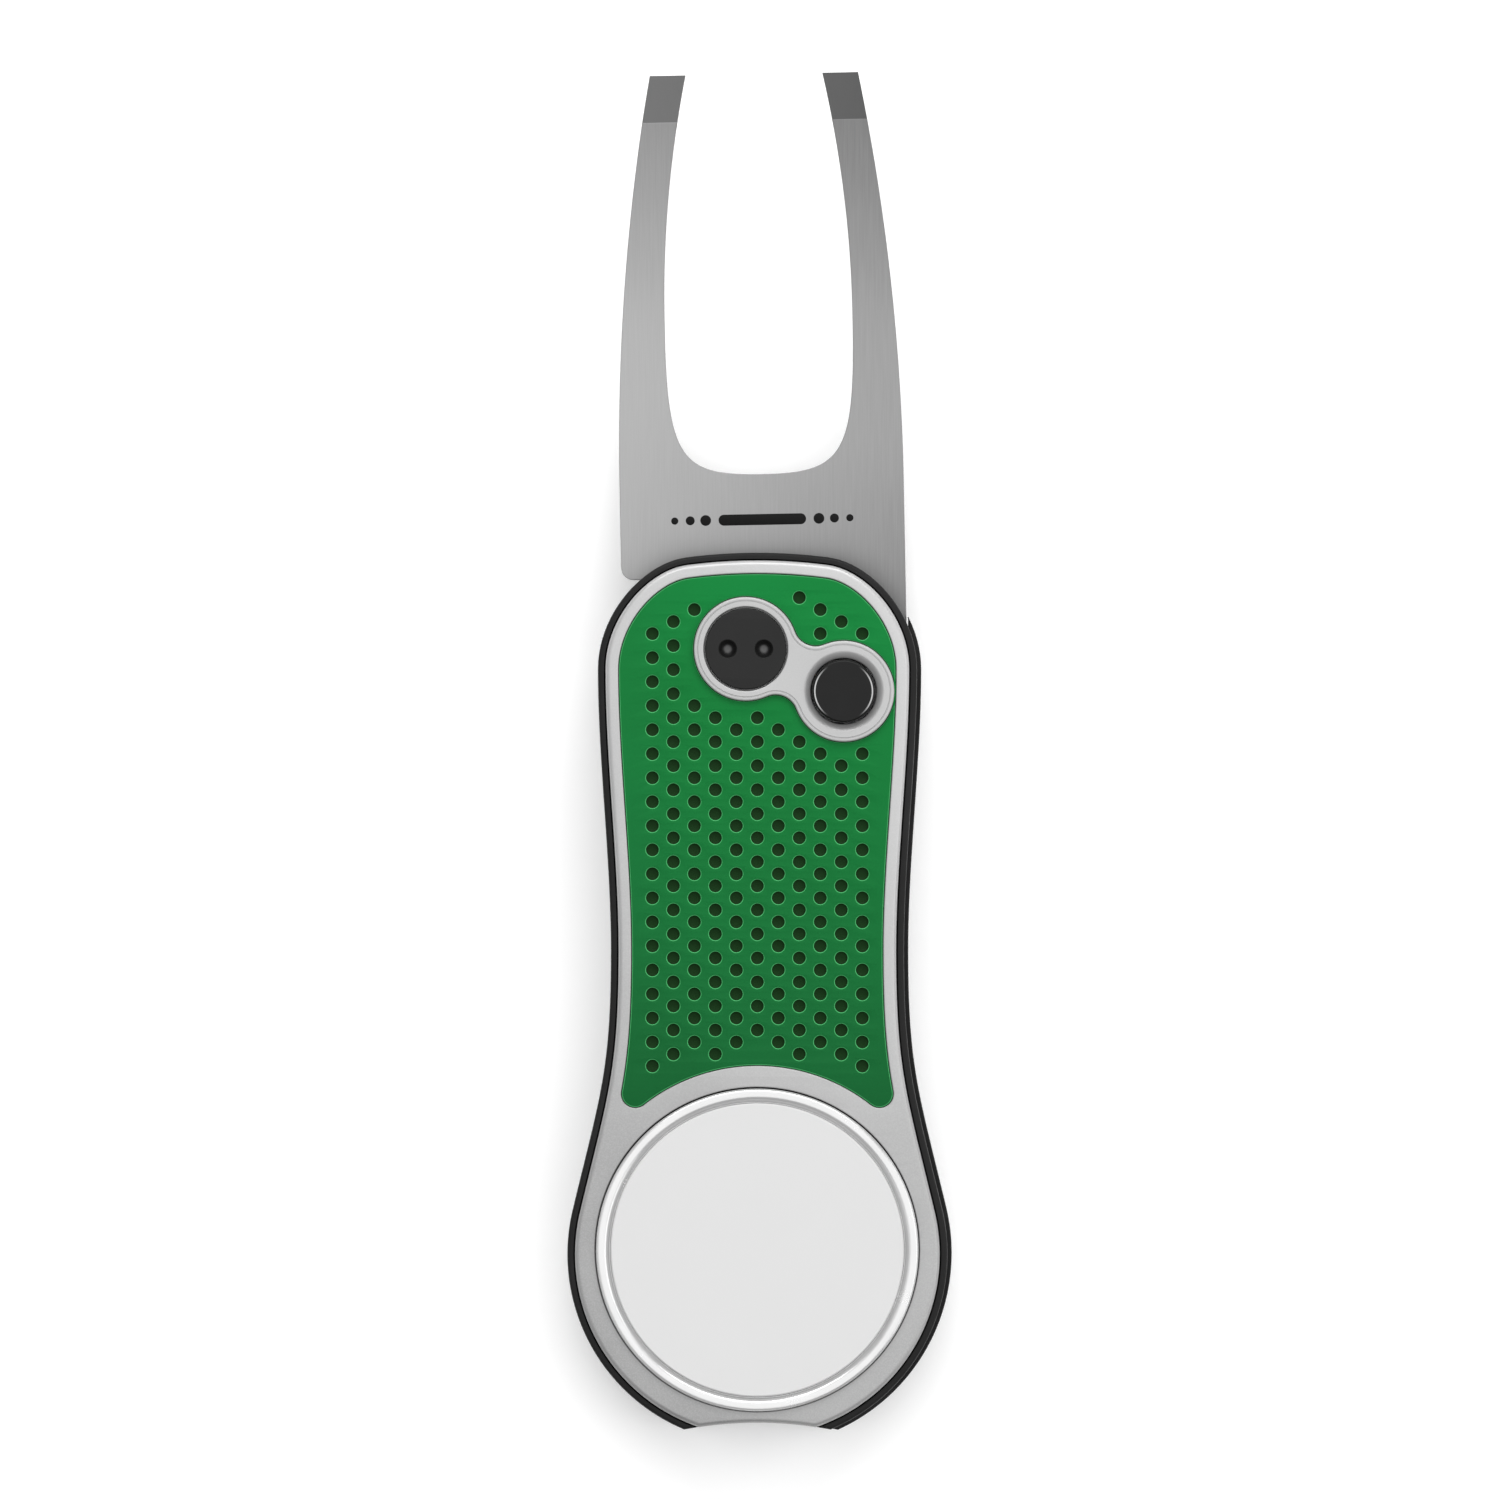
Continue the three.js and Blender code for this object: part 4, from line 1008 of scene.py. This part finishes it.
def marker_face():
    low, high = box_mm("marker_face")
    chamfer = 0.1
    profile = softened([
        (0, low.z), (FACE_RADIUS, low.z), (FACE_RADIUS, high.z - chamfer),
        (FACE_RADIUS - chamfer, high.z), (0, high.z),
    ], [0.02, 0.02, 0.02])
    parts = turned(MARKER, profile, 192)
    return make("marker_enamel_disc", *parts, "marker", "marker_enamel", ENAMEL, ["marker_face"])


# ---- Fork ------------------------------------------------------------------------------------

FORK_AXIS_X = 1.42
FORK_LEAN = math.radians(1.1)
FORK_HALF = WAIST.x + 0.29
BOW_START, BOW_RADIUS = 13, 171
SPREAD, SPREAD_START, SPREAD_RADIUS = 7.3, 26, 88
CROTCH = 13.6
TIP_V = 44.71
GROUND_LENGTH = 3.7
GROUND_ANGLE = math.radians(16)
HUB_RADIUS = 6.6
STOP_OPEN = -1.45
STOP_CLOSED = 5.37
FORK_CORNER = 1.1
PRINT_Y, PRINT_HALF = 10.08, 3.4
PRINT_DOT = 0.42


def bow(v, start, radius):
    return max(0, v - start) ** 2 / (2 * radius)


def along_fork(point):
    """A place round the pivot in the fork's own leaning axes."""
    return Matrix.Rotation(-FORK_LEAN, 2) @ (point - Vector((FORK_AXIS_X, 0)))


def edge_at(u, y):
    """The place on a straight side of the fork at a height beside the pivot."""
    return Vector((u, (y - u * math.sin(FORK_LEAN)) / math.cos(FORK_LEAN)))


def corner_arc(before, corner, after, radius, steps=8):
    back, ahead = (before - corner).normalized(), (after - corner).normalized()
    reach = radius / math.tan(math.acos(back.dot(ahead)) / 2)
    start, end = corner + back * reach, corner + ahead * reach
    shares = [i / steps for i in range(steps + 1)]
    return [start.lerp(corner, share).lerp(corner.lerp(end, share), share) for share in shares]


def fork_outline():
    hub_open = math.asin(STOP_OPEN / HUB_RADIUS)
    hub_closed = math.pi - math.asin(STOP_CLOSED / HUB_RADIUS)
    hub = [along_fork(p) for p in arc((0, 0), HUB_RADIUS, hub_closed, 2 * math.pi + hub_open, 64)]
    rise = [BOW_START + (TIP_V - BOW_START) * i / 40 for i in range(41)]
    outer = [Vector((FORK_HALF - bow(v, BOW_START, BOW_RADIUS), v)) for v in rise]
    fall = [TIP_V + (SPREAD_START - TIP_V) * i / 26 for i in range(27)]
    inner = [Vector((SPREAD - bow(v, SPREAD_START, SPREAD_RADIUS), v)) for v in fall]
    crotch = bezier(Vector((SPREAD, SPREAD_START - 1)), Vector((SPREAD, CROTCH + 1.2)),
                    Vector((0.85 * SPREAD, CROTCH)), Vector((0, CROTCH)))
    prong = outer + inner + [crotch(i / 36) for i in range(36)]
    left = [Vector((-p.x, p.y)) for p in reversed(prong)]
    open_corner = corner_arc(hub[-1], edge_at(FORK_HALF, STOP_OPEN), outer[0], FORK_CORNER)
    closed_corner = corner_arc(left[-1], edge_at(-FORK_HALF, STOP_CLOSED), hub[0], FORK_CORNER)
    return [*hub, *open_corner, *prong, Vector((0, CROTCH)), *left, *closed_corner]


def from_fork(point):
    """The other way: from the leaning axes to the tool's frame."""
    flat = Matrix.Rotation(FORK_LEAN, 2) @ point.to_2d() + Vector((FORK_AXIS_X, 0)) + PIVOT
    return Vector((flat.x, flat.y, point.z))


def fork():
    """The two-prong fork: a flat blade with soft edges, tips ground to a slope, and a round hub."""
    blade = Moulding(fork_outline(), FORK_LOW, FORK_TOP, edge_low=0.05, edge_high=0.05, steps=3)
    blade.through(circle(along_fork(Vector((0, 0))), BUSH_HOLE, 64), round_low=0.08, round_high=0.08)
    grind_points, grind_faces = block((-30, -1, 0), (30, 9, 5))
    slope = Matrix.Rotation(-GROUND_ANGLE, 3, "X")
    grind_points = [slope @ p + Vector((0, TIP_V - GROUND_LENGTH, FORK_TOP)) for p in grind_points]
    points, faces = carved(blade.close(), [(grind_points, grind_faces)])
    points = [from_fork(p) for p in points]
    return make("fork_blade", points, faces, "fork", "fork_steel", STEEL, ["fork"], crease=14)


def fork_print():
    """A plain printed mark across the fork's root: a bar between rows of dots."""
    ink = Finish("fork_black_ink", Metallic=0.0, Specular_IOR_Level=0.1)
    grain = ink.grain(0.0002, 3)
    ink.set("Base Color", ink.blend(grain, grey(0.004), grey(0.007)))
    ink.set("Roughness", 0.55 + 0.15 * grain)
    marks = [rounded_box((-PRINT_HALF, 9.65), (PRINT_HALF, 10.5), radius=PRINT_DOT)]
    for side in (-1, 1):
        marks += [circle((side * (4.4 + 1.2 * i), PRINT_Y), PRINT_DOT - 0.07 * i, 24) for i in range(3)]
    points, faces = [], []
    for outline in marks:
        print_edge = [from_fork(p.to_3d()).to_2d() for p in outline]
        mark = Moulding(print_edge, FORK_TOP - 0.02, FORK_TOP + 0.012, edge_low=0.002, edge_high=0.008, steps=2)
        mark_points, mark_faces = mark.close()
        faces += [tuple(i + len(points) for i in face) for face in mark_faces]
        points += mark_points
    return make("fork_print", points, faces, "fork", "button_black", ink.material)


# ---- Sharpener and screws --------------------------------------------------------------------

MOUTH_RADIUS = 3.7
CONE_ANGLE = math.radians(11.5)
CONE_Z = (BLOCK_LOW.z + BLOCK_HIGH.z) / 2
BLADE_LOW, BLADE_HIGH = MOUTH_Y + 1.7, BLOCK_HIGH.y - 2.5
BLADE_BITE = 0.35
BLADE_GAP = 0.3
BLADE_THICK = 0.6
BLADE_Y = BLADE_LOW + (BLADE_HIGH - BLADE_LOW) * 0.62
BLADE_SCREW_X = 2.7
BLADE_SCREW_HOLE = 0.65
BLADE_EDGE_X = 0.12
BLADE_BEVEL = 1.1


def cone_floor(y):
    return CONE_Z - MOUTH_RADIUS + (y - MOUTH_Y) * math.tan(CONE_ANGLE)


def on_blade(point):
    """A place given on the blade's tilted top face, in the tool's frame."""
    origin = Vector((0, BLADE_Y, cone_floor(BLADE_Y) + BLADE_BITE - BLADE_GAP))
    return Matrix.Rotation(CONE_ANGLE, 3, "X") @ point + origin


def sharpener_block():
    """The cast block with its cone for the pencil and the recess for the blade."""
    hollow = [notch_point(BLOCK_LOW.x + (BLOCK_HIGH.x - BLOCK_LOW.x) * i / 16) for i in range(17)]
    outline = [*hollow, BLOCK_HIGH.to_2d(), Vector((BLOCK_LOW.x, BLOCK_HIGH.y))]
    casting = Moulding(outline, BLOCK_LOW.z, BLOCK_HIGH.z, edge_low=0.12, edge_high=0.12)
    ends = [(MOUTH_Y - 3, 0), (MOUTH_Y - 3, 1), (BLOCK_HIGH.y + 1, 1), (BLOCK_HIGH.y + 1, 0)]
    profile = [(on * (MOUTH_RADIUS - (y - MOUTH_Y) * math.tan(CONE_ANGLE)), y) for y, on in ends]
    cone_points, cone_faces = turned((0, 0), profile, 96)
    cone_points = [Vector((p.x, p.z, CONE_Z - p.y)) for p in cone_points]
    recess_points, recess_faces = block((-3.4, BLADE_LOW, -1), (4.4, BLADE_HIGH, 0))
    recess = [Vector((p.x, p.y, cone_floor(p.y) + BLADE_BITE)) if p.z == 0 else p for p in recess_points]
    drill_profile = [(0, -1), (BLADE_SCREW_HOLE, -1), (BLADE_SCREW_HOLE, 2.2), (0, 2.2)]
    drill_points, drill_faces = turned((BLADE_SCREW_X, 0), drill_profile, 32)
    drill = [on_blade(p) for p in drill_points]
    cutters = [(cone_points, cone_faces), (recess, recess_faces), (drill, drill_faces)]
    parts = carved(casting.close(), cutters)
    return make("sharpener", *parts, "handle", "sharpener_alloy", ALLOY, ["sharpener_block"])


def sharpener_blade():
    """The blade: a plate whose long edge over the cone is ground to a thin edge."""
    low = (MOUTH_Y + 2.0 - BLADE_Y) / math.cos(CONE_ANGLE)
    high = (BLADE_HIGH - 0.3 - BLADE_Y) / math.cos(CONE_ANGLE)
    corners = [(4.0, low + 0.5), (4.0, high - 0.5), (BLADE_EDGE_X, high), (BLADE_EDGE_X, low)]
    plate = Moulding([Vector(p) for p in corners], -BLADE_THICK, 0, edge_low=0.05, edge_high=0.03)
    plate.through(circle((BLADE_SCREW_X, 0), BLADE_SCREW_HOLE + 0.01, 32))
    points, faces = plate.close()
    for p in points:
        thin = max(0, 1 - (p.x - BLADE_EDGE_X) / BLADE_BEVEL)
        p.z *= 1 - 0.9 * thin
    points = [on_blade(p) for p in points]
    return make("blade", points, faces, "handle", "spring_steel", SPRING, ["sharpener_blade"])


def blade_screw():
    head = -BLADE_THICK - 0.5
    profile = softened([
        (0, head), (1.3, head), (1.3, -BLADE_THICK), (0.55, -BLADE_THICK), (0.55, 1.9), (0, 1.9),
    ], [0.2, 0.03, 0, 0.1])
    slot = block((BLADE_SCREW_X - 2, -0.2, head - 1), (BLADE_SCREW_X + 2, 0.2, head + 0.25))
    points, faces = carved(turned((BLADE_SCREW_X, 0), profile, 48), [slot])
    points = [on_blade(p) for p in points]
    return make("blade_fixing", points, faces, "handle", "screw_steel", SCREW, ["blade_screw"])


def casing_screw(number, place):
    """A casing screw with a cross recess in its domed head."""
    low, high = box_mm(f"casing_screw_{number}")
    seat = low.z + 0.9
    profile = softened([
        (0, low.z), (1.7, low.z + 0.12), (1.7, seat), (0.8, seat), (0.8, high.z - 0.6), (0, high.z),
    ], [0.35, 0.04, 0.05, 0.1])
    half, long, deep = 0.19, 0.95, low.z + 0.55
    bars = []
    for reach in (Vector((half, long)), Vector((long, half))):
        bars.append(block((*(place - reach), -1), (*(place + reach), deep)))
    parts = carved(turned(place, profile, 64), bars)
    return make(f"screw_{number}", *parts, "handle", "screw_steel", SCREW, [f"casing_screw_{number}"])


def dress(node, material):
    """A hidden piece keeps its frame shape and gets its finish."""
    piece = frame["nodes"][node]
    piece.data.materials.clear()
    piece.data.materials.append(material)
    piece.data.shade_smooth()
    piece.data.set_sharp_from_angle(angle=math.radians(32))


# ---- The tool --------------------------------------------------------------------------------

front_casing()
back_casing()
spine_spacer()
toe_spacer()
front_frame()
front_grip()
back_grip()
control_bezel()
pivot_cap()
pivot_nut()
release_button()
marker_tray()
marker_face()
fork()
fork_print()
sharpener_block()
sharpener_blade()
blade_screw()
for number, place in enumerate(SCREWS, start=1):
    casing_screw(number, place)

INNER_FINISHES = {
    "pivot_bush": BRASS, "fork_washer": NYLON, "thrust_ring": NYLON, "return_spring": SPRING,
    "stem_guide": SPRING, "button_spring": SPRING, "marker_magnet": NICKEL, "lock_stem": SPRING,
    "button_clip": SPRING,
}
for node, material in INNER_FINISHES.items():
    dress(node, material)


# ---- Floor, light and camera -----------------------------------------------------------------

FRAME_SIDE = 116.5
FRAME_CENTRE = Vector((-0.62, 38.7, 6.0))
CAMERA_DISTANCE = 1600
CAMERA_YAW = math.radians(0.6)
SENSOR = 36
FLOOR_HALF = 3.0                 # metres
WORLD_STRENGTH = 0.4
PANEL_AIM = Vector((0, 0.04, 0))


def studio_floor():
    mesh = bpy.data.meshes.new("floor")
    corners = [(-FLOOR_HALF, -FLOOR_HALF, 0), (FLOOR_HALF, -FLOOR_HALF, 0),
               (FLOOR_HALF, FLOOR_HALF, 0), (-FLOOR_HALF, FLOOR_HALF, 0)]
    mesh.from_pydata(corners, [], [(0, 1, 2, 3)])
    paper = Finish("floor_white_paper", Roughness=0.9, Emission_Color=(1, 1, 1, 1), Emission_Strength=0.12)
    tooth = paper.grain(0.002, 3)
    paper.set("Base Color", paper.blend(tooth, grey(0.93), grey(0.95)))
    mesh.materials.append(paper.material)
    floor = bpy.data.objects.new("floor", mesh)
    bpy.context.scene.collection.objects.link(floor)


def soft_light(name, place, size, watts):
    """A panel that shines at the middle of the tool."""
    lamp = bpy.data.lights.new(name, "AREA")
    lamp.shape = "RECTANGLE"
    lamp.size, lamp.size_y = size
    lamp.energy = watts
    light = bpy.data.objects.new(name, lamp)
    light.location = place
    light.rotation_euler = (PANEL_AIM - Vector(place)).to_track_quat("-Z", "Y").to_euler()
    bpy.context.scene.collection.objects.link(light)


def camera():
    lens = bpy.data.cameras.new("camera")
    lens.sensor_width = SENSOR
    lens.lens = SENSOR * CAMERA_DISTANCE / FRAME_SIDE
    lens.clip_end = 20
    eye = bpy.data.objects.new("camera", lens)
    back = Vector((math.sin(CAMERA_YAW), 0, math.cos(CAMERA_YAW)))
    eye.location = (FRAME_CENTRE + back * CAMERA_DISTANCE) * MM
    across = Vector((0, 1, 0)).cross(back).normalized()
    up = back.cross(across)
    eye.rotation_euler = Matrix((across, up, back)).transposed().to_euler()
    bpy.context.scene.collection.objects.link(eye)
    bpy.context.scene.camera = eye


def world_light():
    world = bpy.data.worlds.new("studio")
    world.use_nodes = True
    background = world.node_tree.nodes["Background"]
    background.inputs["Color"].default_value = (1, 1, 1, 1)
    background.inputs["Strength"].default_value = WORLD_STRENGTH
    bpy.context.scene.world = world


studio_floor()
world_light()
soft_light("overhead_panel", place=(0.1, 0.16, 2.4), size=(3.2, 2.8), watts=36.8)
soft_light("crown_panel", place=(0.0, 0.85, 0.6), size=(1.3, 0.5), watts=8.2)
soft_light("right_panel", place=(0.85, 0.0, 0.6), size=(1.2, 0.5), watts=3.8)
soft_light("left_panel", place=(-0.85, 0.0, 0.6), size=(1.2, 0.5), watts=1.3)
camera()
bpy.context.scene.view_settings.view_transform = "Standard"
